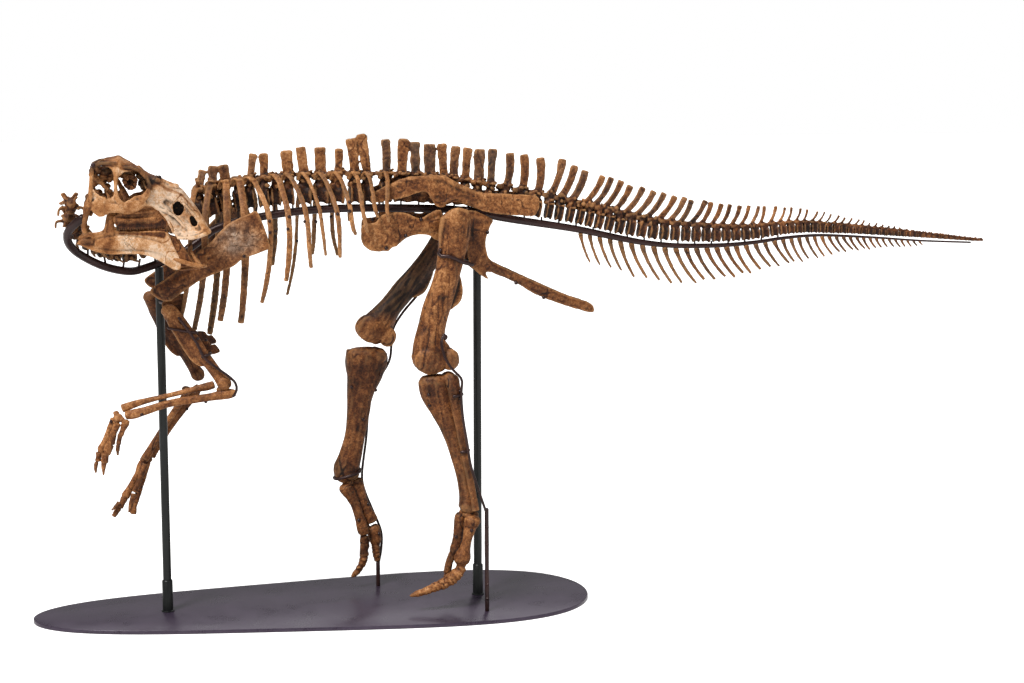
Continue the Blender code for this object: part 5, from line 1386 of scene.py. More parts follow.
def make_feet():
    for side in LEFT, RIGHT:
        dim = 0.04 if side == LEFT else 0.0
        shells = [shaft(rows, tone - dim) for tone, *rows in FOOT_BONES[side]]
        for tone, *rows in TOES[side]:
            shells += joint_run(rows, tone, gap=0.0022, waist=0.84, flat=1.0)
            for x, y, z, size in rows[1:-1]:
                spot = (x + dice.normal(0, 0.002), y - size * 0.6 + dice.normal(0, 0.002),
                        z + size * 0.35)
                shells.append(blob(spot, (size * 0.62, size * 0.55, size * 0.42),
                                   turn=(0, dice.uniform(-40, 40), 0), tone=tone + 0.10))
        # Small ankle bones, between the shin and the foot
        for x, y, z, size, tone in ANKLE[side]:
            shells.append(blob((x, y, z), (size, size * 0.9, size * 0.62),
                               turn=(0, dice.uniform(-25, 25), 0), tone=tone))
        node = f"foot_{SIDE_NAMES[side]}"
        bone(node + "_bones", [node], shells, 0.0020, rough=1.1)


ULNA = milli({
    LEFT: (
        (-248, -158, 713, 10), (-264, -157, 711, 15), (-290, -156, 707, 14.2),
        (-323, -155, 702, 12.5), (-369, -153, 697, 12), (-443, -149, 686, 11.5),
        (-513, -144, 666, 12.8), (-545, -141, 657, 14.8), (-568, -139, 653, 13)
    ),
    RIGHT: (
        (-342, 152, 684, 10.5), (-356, 151, 664, 16.5), (-395, 148, 612, 12.5),
        (-438, 142, 555, 11), (-474, 137, 505, 13.5), (-494, 134, 472, 14.5)
    ),
})
RADIUS = milli({
    LEFT: (
        (-311, -138, 737, 12), (-333, -137, 731, 12.2), (-360, -136, 725.5, 10.2),
        (-390, -135, 719, 8.8), (-459, -133, 704, 8), (-516, -131, 692, 9.2),
        (-555, -130, 681, 12.2), (-578, -129, 673, 13.2)
    ),
    RIGHT: (
        (-376, 124, 676, 11.5), (-392, 123, 652, 10.5), (-430, 121, 600, 9.2),
        (-470, 118, 540, 9.5), (-500, 117, 490, 12.5), (-514, 116, 468, 13.5)
    ),
})
HAND_BONES = milli({
    LEFT: (
        (600, (-603, -133, 642, 12), (-611, -133, 624, 10.8), (-622, -133, 598, 9.5),
         (-634, -133, 570, 10.8), (-642, -133, 553, 13.5), (-645, -133, 546, 10)),
        (560, (-595, -148, 631, 11.5), (-603, -149, 612, 9.6), (-611, -150, 596, 9),
         (-619, -150, 572, 10.4), (-625, -150, 553, 12.8), (-627, -150, 547, 9.5)),
        (400, (-594, -118, 636, 9), (-604, -114, 600, 7.8), (-612, -112, 564, 9.5)),
        (540, (-568, -156, 641, 10.5), (-572, -156, 630, 11.5), (-580, -157, 612, 8),
         (-584, -157, 600, 8.8)),
        (500, (-587, -158, 598, 8.5), (-590, -158, 586, 7), (-593, -159, 572, 8.2)),
        (440, (-594, -160, 569, 6.8), (-596, -160, 551, 6.2)),
        (360, (-596, -160, 548, 4.2), (-596, -160, 539, 3.4)),
        (440, (-650, -133, 542, 11.2), (-652, -133, 530, 8.5), (-654, -133, 519, 10)),
        (460, (-632, -151, 543, 12), (-633, -151, 531, 10.4), (-634, -151, 518, 11.8)),
        (400, (-658, -132, 514, 6.8), (-661, -131, 500, 5.8), (-661, -131, 482, 2.8)),
        (400, (-636, -151, 515, 8.4), (-638, -151, 501, 7), (-639, -151, 479, 2.8)),
        (400, (-614, -111, 558, 8.5), (-622, -109, 530, 4))
    ),
    RIGHT: (
        (560, (-522, 128, 456, 10.5), (-528, 128, 440, 12.5), (-535, 128, 420, 10.8),
         (-548, 128, 398, 10), (-562, 127, 374, 10.8), (-576, 127, 351, 13.8),
         (-580, 127, 345, 10)),
        (580, (-505, 141, 452, 10), (-510, 141, 440, 11), (-516, 142, 416, 9),
         (-520, 142, 402, 10)),
        (540, (-522, 142, 397, 10), (-527, 142, 382, 8.6), (-534, 142, 364, 10.8)),
        (460, (-514, 112, 452, 9), (-530, 108, 410, 8), (-548, 106, 368, 9.5)),
        (460, (-580, 127, 342, 12), (-586, 126, 330, 10), (-594, 125, 317, 10.8)),
        (520, (-598, 125, 312, 9.5), (-606, 124, 300, 8.8), (-614, 123, 289, 7.5)),
        (480, (-596, 112, 334, 7), (-607, 110, 322, 5.8), (-620, 108, 311, 3)),
        (460, (-535, 141, 359, 10.5), (-540, 141, 345, 8.8), (-545, 140, 329, 9.8)),
        (500, (-546, 140, 325, 9), (-549, 140, 314, 7.8)),
        (420, (-551, 140, 311, 8.5), (-552, 140, 300, 9.8), (-554, 140, 291, 10.2)),
        (440, (-551, 105, 360, 8.5), (-560, 104, 330, 7.2), (-567, 104, 304, 3.5))
    ),
})
WRISTS = milli({
    LEFT: ((-597, -132, 659, 9.5), (-592, -139, 646, 15), (-581, -145, 642, 9)),
    RIGHT: ((-516, 126, 464, 13.5), (-502, 137, 461, 12)),
})


def make_arms():
    for side in LEFT, RIGHT:
        name = SIDE_NAMES[side]
        shoulder, elbow = np.array(ARM[side]["shoulder"]), np.array(ARM[side]["elbow"])
        # The right (far) arm bones are toned darker: painted shade behind the chest
        tone = 0.50 if side == LEFT else 0.34
        along = elbow - shoulder
        forward = forward_of(along)
        out = np.array((0, side, 0))
        shells = [long_bone(HUMERUS, shoulder, elbow, tone=tone)]
        crest = [shoulder + along * t + forward * f for t, f in
                 ((0.05, 0.010), (0.12, 0.026), (0.28, 0.032), (0.42, 0.036), (0.56, 0.038),
                  (0.655, 0.030), (0.69, 0.018), (0.64, 0.004), (0.40, 0.002), (0.15, 0.000))]
        shells.append(shifted(plate([(p[0], p[2]) for p in crest], 0.013, tone + 0.05),
                           (0, shoulder[1] + along[1] * 0.3 + side * 0.004, 0)))
        shells.append(blob(shoulder + along * 0.035, (0.024, 0.019, 0.020), tone=tone + 0.05,
                           rings=12, sides=18))
        for way in LEFT, RIGHT:
            shells.append(blob(shoulder + along * 0.945 + out * way * 0.012,
                               (0.022, 0.013, 0.020), tone=tone, rings=12, sides=18))
        bone(f"humerus_{name}_bone", [f"humerus_{name}"], shells, 0.0022, rough=1.0,
             grain=along)
        # The right forearm and hand are darker too: painted shade
        tone = 0.58 if side == LEFT else 0.46
        for kind, table in (("ulna", ULNA[side]), ("radius", RADIUS[side])):
            rows = [(*row, row[3] * 0.82) for row in table]
            shells = [loft(rows, sides=18, tone=tone, step=0.005, power=2.1)]
            if kind == "ulna":
                x, y, z = table[1][:3]
                shells.append(blob((x, y, z), (0.0165, 0.0125, 0.0145), tone=tone - 0.05,
                                   rings=12, sides=16))
                shells.append(blob((x - 0.026, y + 0.004, z + 0.013), (0.014, 0.010, 0.009),
                                   tone=tone - 0.08, rings=12, sides=16))
            bone(f"{kind}_{name}_bone", [f"{kind}_{name}"], shells, 0.0018, rough=0.8,
                 grain=np.array(table[-1][:3]) - table[0][:3])
        shells = [blob((x, y, z), (size, size * 0.8, size * 0.9), tone=tone - 0.02, rings=10,
                       sides=14) for x, y, z, size in WRISTS[side]]
        shells += [shaft(rows, shade) for shade, *rows in HAND_BONES[side]]
        bone(f"hand_{name}_bones", [f"hand_{name}"], shells, 0.0015, rough=0.7)


# ------------------------------------------------------------------ girdles
SCAPULA_OUTLINE = milli((
    (-313, 1160), (-259, 1215), (-204, 1241), (-177, 1252), (-160, 1220), (-138, 1149),
    (-147, 1137), (-218, 1111), (-250, 1088), (-315, 1062), (-379, 1031), (-409, 1007),
    (-432, 990), (-462, 994), (-489, 1022), (-445, 1055), (-386, 1099), (-351, 1134)
))
CORACOID_OUTLINE = milli((
    (-452, 984), (-420, 997), (-388, 1004), (-386, 960), (-404, 950), (-450, 962)
))
STERNAL_OUTLINE = milli((
    (-358, 858), (-326, 864), (-313, 850), (-302, 852), (-288, 828), (-334, 822)
))
ILIUM_OUTLINE = milli((
    (175, 1274), (182, 1292), (233, 1319), (280, 1337), (326, 1343), (396, 1342), (430, 1323),
    (501, 1292), (552, 1287), (609, 1283), (688, 1273), (681, 1221), (633, 1218), (538, 1228),
    (505, 1238), (467, 1253), (420, 1263), (392, 1247), (368, 1255), (345, 1292), (317, 1292),
    (279, 1279), (186, 1264)
))
PUBIS_OUTLINE = milli((
    (139, 1187), (146, 1202), (168, 1205), (186, 1209), (200, 1227), (237, 1236), (278, 1233),
    (303, 1221), (324, 1216), (346, 1228), (374, 1240), (390, 1230), (392, 1150), (368, 1150),
    (348, 1163), (318, 1167), (283, 1160), (262, 1147), (247, 1133), (232, 1130), (222, 1119),
    (205, 1121), (190, 1118), (161, 1126), (141, 1147)
))
ISCHIUM_OUTLINE = milli((
    (462, 1234), (546, 1209), (539, 1181), (527, 1145), (529, 1111), (548, 1078), (635, 1033),
    (781, 966), (862, 937), (880, 920), (862, 906), (708, 960), (635, 1001), (563, 1041),
    (540, 1044), (527, 1046), (531, 1033), (536, 1023), (525, 1026), (498, 1047), (476, 1070),
    (466, 1120)
))


def ilium_y(x, z):
    return at(((0.175, 0.052), (0.350, 0.064), (0.690, 0.060)), x) + (1.343 - z) * 0.10


def scapula_y(x, z):
    return at(((-0.490, 0.136), (-0.138, 0.160)), x) + 0 * z


def pubis_y(x, z):
    return at(((0.136, 0.104), (0.330, 0.086), (0.392, 0.074)), x) + 0 * z


def ischium_y(x, z):
    return at(((0.462, 0.076), (0.560, 0.056), (0.880, 0.014)), x) + 0 * z


def chest_y(x, z):
    return 0.097 + 0 * x


# For each flat bone: outline, thickness, tone and the share of the painted shade it takes on the
# right (far) side, distance from the middle plane, shift of the right one along X, voxel and
# roughness of the skin
FLAT_BONES = {
    "scapula": (SCAPULA_OUTLINE, 0.0075, 0.62, 1.0, scapula_y, -0.012, 0.0024, 0.9),
    "coracoid": (CORACOID_OUTLINE, 0.0125, 0.42, 1.0, chest_y, -0.012, 0.0018, 0.9),
    "sternal_plate": (STERNAL_OUTLINE, 0.0075, 0.30, 0.5, chest_y, 0.0, 0.0016, 0.9),
    "ilium": (ILIUM_OUTLINE, 0.0098, 0.56, 1.0, ilium_y, 0.0, 0.0024, 1.2),
    "pubis": (PUBIS_OUTLINE, 0.0085, 0.61, 1.0, pubis_y, 0.026, 0.0024, 0.9),
    "ischium": (ISCHIUM_OUTLINE, 0.0080, 0.45, 1.0, ischium_y, 0.003, 0.0024, 0.9),
}
# Painted shade: how much darker the flat bones of the right (far) side are toned
RIGHT_SIDE_SHADE = -0.20
RIDGE_OUT = 0.003  # how far the ridges stand off the middle of the plate
# Ridges on them: tone, radius, flatness, share of RIDGE_OUT, then rows of (x, z, size share)
RIDGES = milli({
    "scapula": (
        (600, 18, 5.5, 300, (-460, 1012, 1300), (-400, 1045, 1200), (-330, 1090, 900),
         (-260, 1150, 500), (-210, 1200, 200)),
        (550, 10, 6, 600, (-435, 998, 1000), (-400, 1022, 900), (-360, 1045, 500))
    ),
    "coracoid": ((450, 10, 7.8, 0, (-445, 973, 1000), (-395, 980, 1000)),),
    "ilium": (
        (560, 6, 5.2, 550, (185, 1282, 600), (235, 1312, 900), (285, 1330, 1000),
         (330, 1336, 1000), (395, 1334, 1200), (435, 1313, 1500), (470, 1297, 1500),
         (510, 1284, 1000), (600, 1276, 800), (680, 1265, 600)),
        (500, 9.5, 6.2, 200, (355, 1281, 800), (392, 1262, 1100), (430, 1272, 1100),
         (475, 1262, 1200), (510, 1248, 1000)),
        (500, 8, 5, 100, (210, 1288, 500), (270, 1305, 1000), (330, 1308, 1000))
    ),
    "pubis": (
        (560, 17, 6.6, 100, (385, 1200, 1600), (350, 1192, 1300), (300, 1194, 1100),
         (250, 1188, 900), (200, 1175, 600)),
        (520, 9, 6, 0, (380, 1232, 1000), (350, 1220, 800), (320, 1207, 600))
    ),
    "ischium": (
        (440, 12.5, 6.2, 0, (520, 1090, 900), (545, 1060, 1100), (600, 1034, 1100),
         (700, 986, 1000), (780, 950, 1000), (855, 924, 1100)),
        (460, 10, 6.2, 0, (470, 1222, 1000), (500, 1214, 1000), (540, 1203, 900)),
        (400, 8, 6, 0, (474, 1200, 900), (474, 1150, 800), (482, 1085, 700))
    ),
})


def ridge(points, radius, flat, tone, y):
    """A ridge on a plate: rows of (x, z, size share)."""
    return loft([(x, y, z, radius * g, flat * g) for x, z, g in points], sides=12, power=2,
                tone=tone, step=0.005)


def scapula_paint(side):
    """Paint of a scapula: pale and pitted in the middle, dark towards the shoulder."""
    scale = 0.5 if side == RIGHT else 1.0

    def paint(co, shade):
        x, z = co[:, 0], co[:, 2]
        centre = np.clip(1.7 - 1.5 * np.hypot((x + 0.240) / 0.084, (z - 1.168) / 0.064), 0, 1)
        low = np.clip((-0.30 - x) / 0.06, 0, 1)
        shade[:, 0] += (0.24 * centre - 0.10 - 0.12 * low) * scale
        shade[:, 1] = np.clip(0.85 * centre, 0, 1)
        shade[:, 0] -= 0.42 * np.clip(lumps(co, 0.022, 21) - 0.15, 0, 1) * centre
        return shade
    return paint


def make_girdles():
    for side in LEFT, RIGHT:
        dim = 0.0 if side == LEFT else RIGHT_SIDE_SHADE
        # The right (far) bones and their ridges take the painted shade
        for kind, row in FLAT_BONES.items():
            ring, thickness, tone, share, place, shift, voxel, rough = row
            shift = shift if side == RIGHT else 0
            shells = [plate(ring, thickness, tone + dim * share)]
            shells += [ridge(points, radius, flat, shade + dim, side * RIDGE_OUT * out)
                       for shade, radius, flat, out, *points in RIDGES.get(kind, ())]

            def bend(co):
                co = co.copy()
                co[:, 0] += shift
                co[:, 1] += side * place(co[:, 0] - shift, co[:, 2])
                return co
            node = f"{kind}_{SIDE_NAMES[side]}"
            bone(node + "_bone", [node], shells, voxel, rough, bend,
                 paint=scapula_paint(side) if kind == "scapula" else None)


# ------------------------------------------------------------------ head
SKULL_Y, SKULL_THICKNESS = -0.246, 0.0052
TOOTH_PITCH = 0.0062
EYE_PLATES, EYE_X, EYE_Z = 14, -0.539, 1.350  # plates of each eye ring, and its middle
# Side profile of the skull: X, height of the roof, height of the lower edge of the side wall
SKULL_ROOF = milli((
    (-656, 1386), (-646, 1401), (-632, 1410), (-607, 1417), (-579, 1422), (-572, 1424),
    (-551, 1414), (-524, 1398), (-503, 1385), (-482, 1372), (-458, 1361), (-434, 1345),
    (-413, 1338), (-395, 1328), (-378, 1308), (-358, 1281), (-334, 1243), (-318, 1210)
))
SKULL_EDGE = milli((
    (-656, 1320), (-646, 1300), (-638, 1262), (-630, 1257), (-616, 1257), (-606, 1267),
    (-577, 1267), (-543, 1261), (-525, 1270), (-505, 1284), (-480, 1281), (-462, 1268),
    (-440, 1240), (-424, 1206), (-410, 1190), (-390, 1187), (-360, 1190), (-333, 1197),
    (-318, 1202)
))
SKULL_WIDE = milli((
    (-660, 70), (-640, 80), (-610, 83), (-570, 80), (-530, 70), (-490, 58), (-450, 47),
    (-410, 41), (-370, 40), (-340, 40), (-318, 36)
))
SKULL_FLARE = milli((
    (-450, 0), (-425, 6), (-390, 14), (-350, 16), (-318, 10)
))
SKULL_SHOULDER = milli((
    (-656, 40), (-600, 46), (-540, 52), (-480, 60), (-430, 62), (-380, 58), (-318, 12)
))
SKULL_POWER = ((-0.656, 3.4), (-0.560, 3.2), (-0.480, 2.4), (-0.420, 2.0), (-0.318, 1.9))
SKULL_REAR = milli((
    (1300, 2), (1345, 2), (1370, 4), (1386, 8), (1402, 14)
))
CHEEK = milli((
    (-640, 1392), (-626, 1402), (-604, 1399), (-588, 1388), (-584, 1373), (-583, 1345),
    (-586, 1321), (-592, 1310), (-610, 1310), (-631, 1322), (-644, 1336), (-646, 1364)
))
ORBIT = milli((
    (-570, 1368), (-553, 1381), (-525, 1384), (-505, 1375), (-495, 1354), (-492, 1329),
    (-506, 1317), (-527, 1312), (-545, 1301), (-562, 1297), (-572, 1313), (-576, 1341)
))
NARES = milli((
    ((-421, 1284), (-409, 1294), (-395, 1287), (-391, 1270), (-396, 1258), (-408, 1254),
     (-419, 1262)),
    ((-374, 1246), (-366, 1250), (-357, 1241), (-354, 1227), (-362, 1221), (-371, 1229))
))
GROOVE = milli((
    (-440, 1292, 11), (-418, 1276, 18), (-396, 1262, 19), (-378, 1244, 17), (-362, 1228, 14),
    (-350, 1216, 9)
))


def snap(points, ring, reach):
    """Pull points (x, z) that are near an outline onto it."""
    starts, ends = np.array(ring), np.roll(np.array(ring), -1, axis=0)
    best, spot = np.full(len(points), 1e9), points.copy()
    for a, b in zip(starts, ends):
        t = np.clip(((points - a) @ (b - a)) / max((b - a) @ (b - a), 1e-12), 0, 1)
        near = a + t[:, None] * (b - a)
        gap = np.linalg.norm(points - near, axis=1)
        better = gap < best
        best[better], spot[better] = gap[better], near[better]
    close = best < reach
    out = points.copy()
    out[close] = spot[close]
    return out


def skull_vault():
    """The roof and sides of the skull as one curved sheet, with its openings cut through."""
    columns = np.arange(-0.656, -0.3179, 0.002)
    rows = 110  # over the roof, from one lower edge to the other
    grid = np.zeros((len(columns), rows, 3))
    for i, x in enumerate(columns):
        roof, edge = float(spread(SKULL_ROOF, x, 1)), float(at(SKULL_EDGE, x))
        wide = float(spread(SKULL_WIDE, x, 1))
        level = max(roof - float(at(SKULL_SHOULDER, x)), edge + 0.002)
        power = float(at(SKULL_POWER, x))
        wall = (level - edge) / ((level - edge) + 1.2 * wide)
        for k in range(rows):
            t = 2 * k / (rows - 1) - 1
            side, t = (LEFT if t < 0 else RIGHT), 1 - abs(t)
            if t < wall:
                z, y = edge + (level - edge) * t / wall, wide
            else:
                angle = (t - wall) / (1 - wall) * math.pi / 2
                y = wide * max(math.cos(angle), 0) ** (2 / power)
                z = level + (roof - level) * math.sin(angle) ** (2 / power)
            low = max(0.0, min(1.0, (edge + 0.035 - z) / 0.035)) ** 1.5
            y += float(at(SKULL_FLARE, x)) * low
            lean = float(at(SKULL_REAR, z)) * max(0.0, min(1.0, (-0.600 - x) / 0.056))
            grid[i, k] = (x + lean, SKULL_Y + side * y, z)
    flat = grid.reshape(-1, 3)
    side_wall = np.abs(flat[:, 1] - SKULL_Y) > 0.016
    rings = [outline(ring, 0.002) for ring in (CHEEK, ORBIT, *NARES)]
    for ring in rings:
        moved = snap(flat[side_wall][:, [0, 2]], ring, 0.0013)
        flat[np.ix_(side_wall, [0, 2])] = moved
    # The groove round the nostrils is pressed in
    path = curve([(x, 0, z, r) for x, z, r in GROOVE], 0.003)
    for i, (x, y, z) in enumerate(flat):
        if x < -0.452 or abs(y - SKULL_Y) < 0.008:
            continue
        gap = np.hypot(path[:, 0] - x, path[:, 2] - z)
        k = int(np.argmin(gap))
        share = 1 - gap[k] / path[k, 3]
        if share > 0:
            deep = 0.0085 * min(1.0, share * 2.2)
            flat[i, 1] -= math.copysign(min(deep, abs(y - SKULL_Y) * 0.5), y - SKULL_Y)
    index = np.arange(len(flat)).reshape(len(columns), rows)
    quads = np.array([(index[i, k], index[i + 1, k], index[i + 1, k + 1], index[i, k + 1])
                      for i in range(len(columns) - 1) for k in range(rows - 1)])
    middle = flat[quads].mean(axis=1)
    gone = np.zeros(len(quads), bool)
    for ring in rings:
        gone |= inside(middle[:, [0, 2]], ring) & (np.abs(middle[:, 1] - SKULL_Y) > 0.018)
    # Openings in the rear of the roof
    for side in LEFT, RIGHT:
        gone |= (((middle[:, 0] + 0.617) / 0.0215) ** 2
                 + ((middle[:, 1] - SKULL_Y - side * 0.030) / 0.0155) ** 2 < 1) \
            & (middle[:, 2] > 1.395)
    quads = quads[~gone]
    normal = np.zeros_like(flat)
    cross = np.cross(flat[quads[:, 2]] - flat[quads[:, 0]], flat[quads[:, 3]] - flat[quads[:, 1]])
    for k in range(4):
        np.add.at(normal, quads[:, k], cross)
    normal /= np.maximum(np.linalg.norm(normal, axis=1), 1e-12)[:, None]
    centre = np.array((0, SKULL_Y, 1.30))
    way = np.sign(((flat[quads].mean(axis=1) - centre) * (0.2, 1, 1) * cross).sum(axis=1).mean())
    inner = flat - normal * way * SKULL_THICKNESS
    count = len(flat)
    edges = {}
    for quad in quads:
        for a, b in zip(quad, np.roll(quad, -1)):
            edges[(int(a), int(b))] = edges.get((int(a), int(b)), 0) + 1
    faces = [tuple(int(v) for v in quad) for quad in quads]
    faces += [tuple(int(v) + count for v in quad[::-1]) for quad in quads]
    faces += [(b, a, a + count, b + count) for a, b in edges if (b, a) not in edges]
    if way < 0:
        faces = [face[::-1] for face in faces]
    return np.vstack([flat, inner]), faces, 0.72, 0.0


def bar(rows, tone, across=(0, 1, 0), side=LEFT, power=2.2, sides=12, step=0.004):
    """A bar of the skull: rows of (x, distance from the skull's middle, z, a, b)."""
    return loft([(x, SKULL_Y + side * y, z, *size) for x, y, z, *size in rows], across=across,
                sides=sides, power=power, tone=tone, step=step)


def against(shell, side, wall):
    """A shell built flat, moved out to the wall (a function of X) on one side of the head."""
    points, faces, tone, grey = shell
    points = points.copy()
    points[:, 1] = SKULL_Y + side * (wall(points[:, 0]) + points[:, 1])
    return points, (faces if side > 0 else [tuple(f[::-1]) for f in faces]), tone, grey


# Bars of the skull and, inside it, thin struts: a tone, then rows as bar() takes them
SKULL_BARS = milli((
    # Quadrate, from the rear of the roof down to the jaw joint
    (540, (-643, 70, 1392, 6, 7), (-648, 72, 1350, 6, 8), (-651, 74, 1312, 7.5, 8.5),
     (-660, 76, 1284, 11, 8.5), (-665, 77, 1256, 8.5, 8.5), (-670, 77, 1236, 7, 9.5),
     (-670, 76.5, 1222, 8, 10.5), (-668, 77, 1210, 7.5, 10)),
    # Lower bar with its rear lobe
    (720, (-641, 80, 1300, 19, 4.2), (-627, 80.5, 1287, 27, 4.4), (-612, 80, 1281, 22, 4.6),
     (-597, 80.5, 1283, 13.5, 5), (-575, 81, 1281, 12.5, 5.8), (-545, 75, 1280, 16, 5.5),
     (-520, 69, 1287, 15.5, 5), (-500, 62, 1296, 8.5, 4.5)),
    # Bar behind the orbit, wide at both ends
    (660, (-566, 78, 1290, 11, 6), (-575, 80, 1304, 7, 6.2), (-579, 80, 1325, 5.2, 6.4),
     (-580, 79, 1350, 5.4, 6.4), (-578, 77, 1374, 8, 7), (-576, 73, 1392, 15, 7),
     (-578, 68, 1402, 20, 7)),
    # Bar in front of the orbit
    (600, (-512, 66, 1300, 11, 5), (-495, 64, 1316, 9, 5.5), (-487, 62, 1338, 6, 6.2),
     (-491, 61, 1358, 5.8, 6.2), (-504, 61, 1376, 6.6, 6), (-516, 60, 1388, 7, 5.5)),
    # Rim over the orbit and the rear roof edge
    (460, (-566, 73, 1392, 5, 5.5), (-545, 69, 1393, 5.2, 6.2), (-522, 63, 1388, 5, 6),
     (-505, 59, 1379, 5, 5.2)),
    (520, (-641, 68, 1396, 7, 7.2), (-622, 76, 1406, 5.5, 6.8), (-598, 77, 1406, 6, 6.8),
     (-578, 72, 1402, 8, 7)),
    # Lower lip of the long nostril groove
    (800, (-462, 47, 1274, 4, 4), (-436, 47, 1264, 3.8, 4), (-412, 47, 1246, 3.6, 3.8),
     (-390, 48, 1220, 3.6, 3.6)),
    (780, (-388, 40, 1284, 3.2, 3.4), (-366, 38, 1258, 3.4, 3.4), (-346, 37, 1228, 3.6, 3.6),
     (-336, 38, 1212, 4, 4)),
    # Beak: a thick rolled lower edge
    (760, (-412, 55, 1192, 5, 4.5), (-388, 60, 1190, 5.5, 4.8), (-358, 58, 1193, 5.8, 5),
     (-334, 50, 1200, 6.2, 6), (-320, 28, 1205, 6.8, 8)),
))
INNER_BARS = milli((
    (560, (-642, 36, 1374, 6, 8), (-622, 50, 1352, 4, 6), (-602, 54, 1330, 3.6, 5)),
    (620, (-612, 20, 1342, 4.5, 4.5), (-604, 44, 1322, 3.4, 4.4), (-598, 60, 1304, 4, 6)),
    (580, (-576, 10, 1358, 5, 5), (-562, 28, 1330, 3.6, 7), (-550, 40, 1302, 5, 10),
     (-540, 52, 1282, 6, 6)),
    (440, (-624, 16, 1316, 6, 6), (-642, 46, 1290, 5, 10), (-656, 66, 1262, 5, 9)),
    (240, (-642, 20, 1382, 8, 6), (-646, 50, 1380, 7, 7), (-646, 70, 1372, 6, 8)),
    (400, (-600, 12, 1372, 6, 5), (-590, 44, 1372, 4, 6), (-580, 72, 1384, 6, 6)),
    (500, (-606, 6, 1312, 4, 5), (-590, 34, 1292, 3, 8), (-574, 52, 1270, 3, 8)),
    (440, (-545, 4, 1298, 4, 8), (-530, 20, 1284, 3.6, 16), (-524, 36, 1268, 3.6, 20)),
    (260, (-510, 4, 1366, 4, 5), (-500, 26, 1352, 3.4, 6), (-492, 50, 1334, 4, 6))
))
# Lumps of the braincase and palate, and near-black sheets on the middle plane that are painted
# shade behind the orbits: place, with y from the middle plane, sizes, tone
BRAINCASE = milli((
    (-626, 0, 1380, 20, 30, 13, 300), (-638, 30, 1366, 11, 15, 11, 420),
    (-620, 13, 1352, 15, 11, 10, 620), (-606, 0, 1338, 13, 17, 10, 600),
    (-598, 15, 1358, 9, 10, 13, 660), (-584, 0, 1362, 15, 11, 9, 600),
    (-560, 5, 1367, 18, 6, 8, 500), (-530, 0, 1372, 22, 5, 6, 360),
    (-646, 0, 1334, 10, 17, 14, 440), (-629, 10, 1323, 11, 8, 7, 560),
    (-612, 0, 1315, 13, 9, 6, 500), (-585, 0, 1306, 18, 6, 5, 540),
    (-552, 4, 1300, 20, 5, 5, 560), (-655, 12, 1306, 12, 12, 12, 340),
    (-634, 34, 1386, 16, 14, 12, 220), (-604, 30, 1384, 18, 14, 11, 260),
    (-636, 20, 1350, 12, 12, 14, 500), (-612, 20, 1366, 13, 12, 14, 580),
    (-600, 26, 1322, 12, 10, 10, 600), (-640, 30, 1312, 12, 12, 12, 420),
    (-562, 22, 1312, 14, 8, 12, 600), (-545, 18, 1378, 22, 12, 8, 160),
    (-508, 20, 1366, 14, 14, 10, 120), (-503, 14, 1338, 8, 10, 16, 240),
    # Painted shade: two thin near-black sheets on the middle plane, behind the orbits
    (-545, 0, 1350, 16, 3, 13, 60), (-512, 0, 1346, 8, 3, 12, 100)
))
NOSTRIL_SHADE_PLATE_OUTLINE = milli((
    (-436, 1250), (-430, 1312), (-400, 1318), (-372, 1284), (-344, 1232), (-352, 1212),
    (-392, 1214)
))
UPPER_JAW_OUTLINE = milli((
    (-590, 1252), (-578, 1262), (-545, 1275), (-520, 1290), (-490, 1298), (-462, 1286),
    (-444, 1262), (-430, 1236), (-432, 1226), (-480, 1221), (-540, 1222), (-580, 1230)
))
UPPER_JAW_RIDGES = milli((
    (620, (-586, 4, 1246, 6, 5), (-530, 5, 1244, 6.5, 6), (-470, 5, 1246, 6, 5)),
    (600, (-560, 4, 1264, 4, 4), (-520, 6, 1266, 5, 5), (-476, 5, 1268, 4, 4))
))


def upper_jaw_y(x):
    return spread(SKULL_WIDE, x, 1) - 0.013


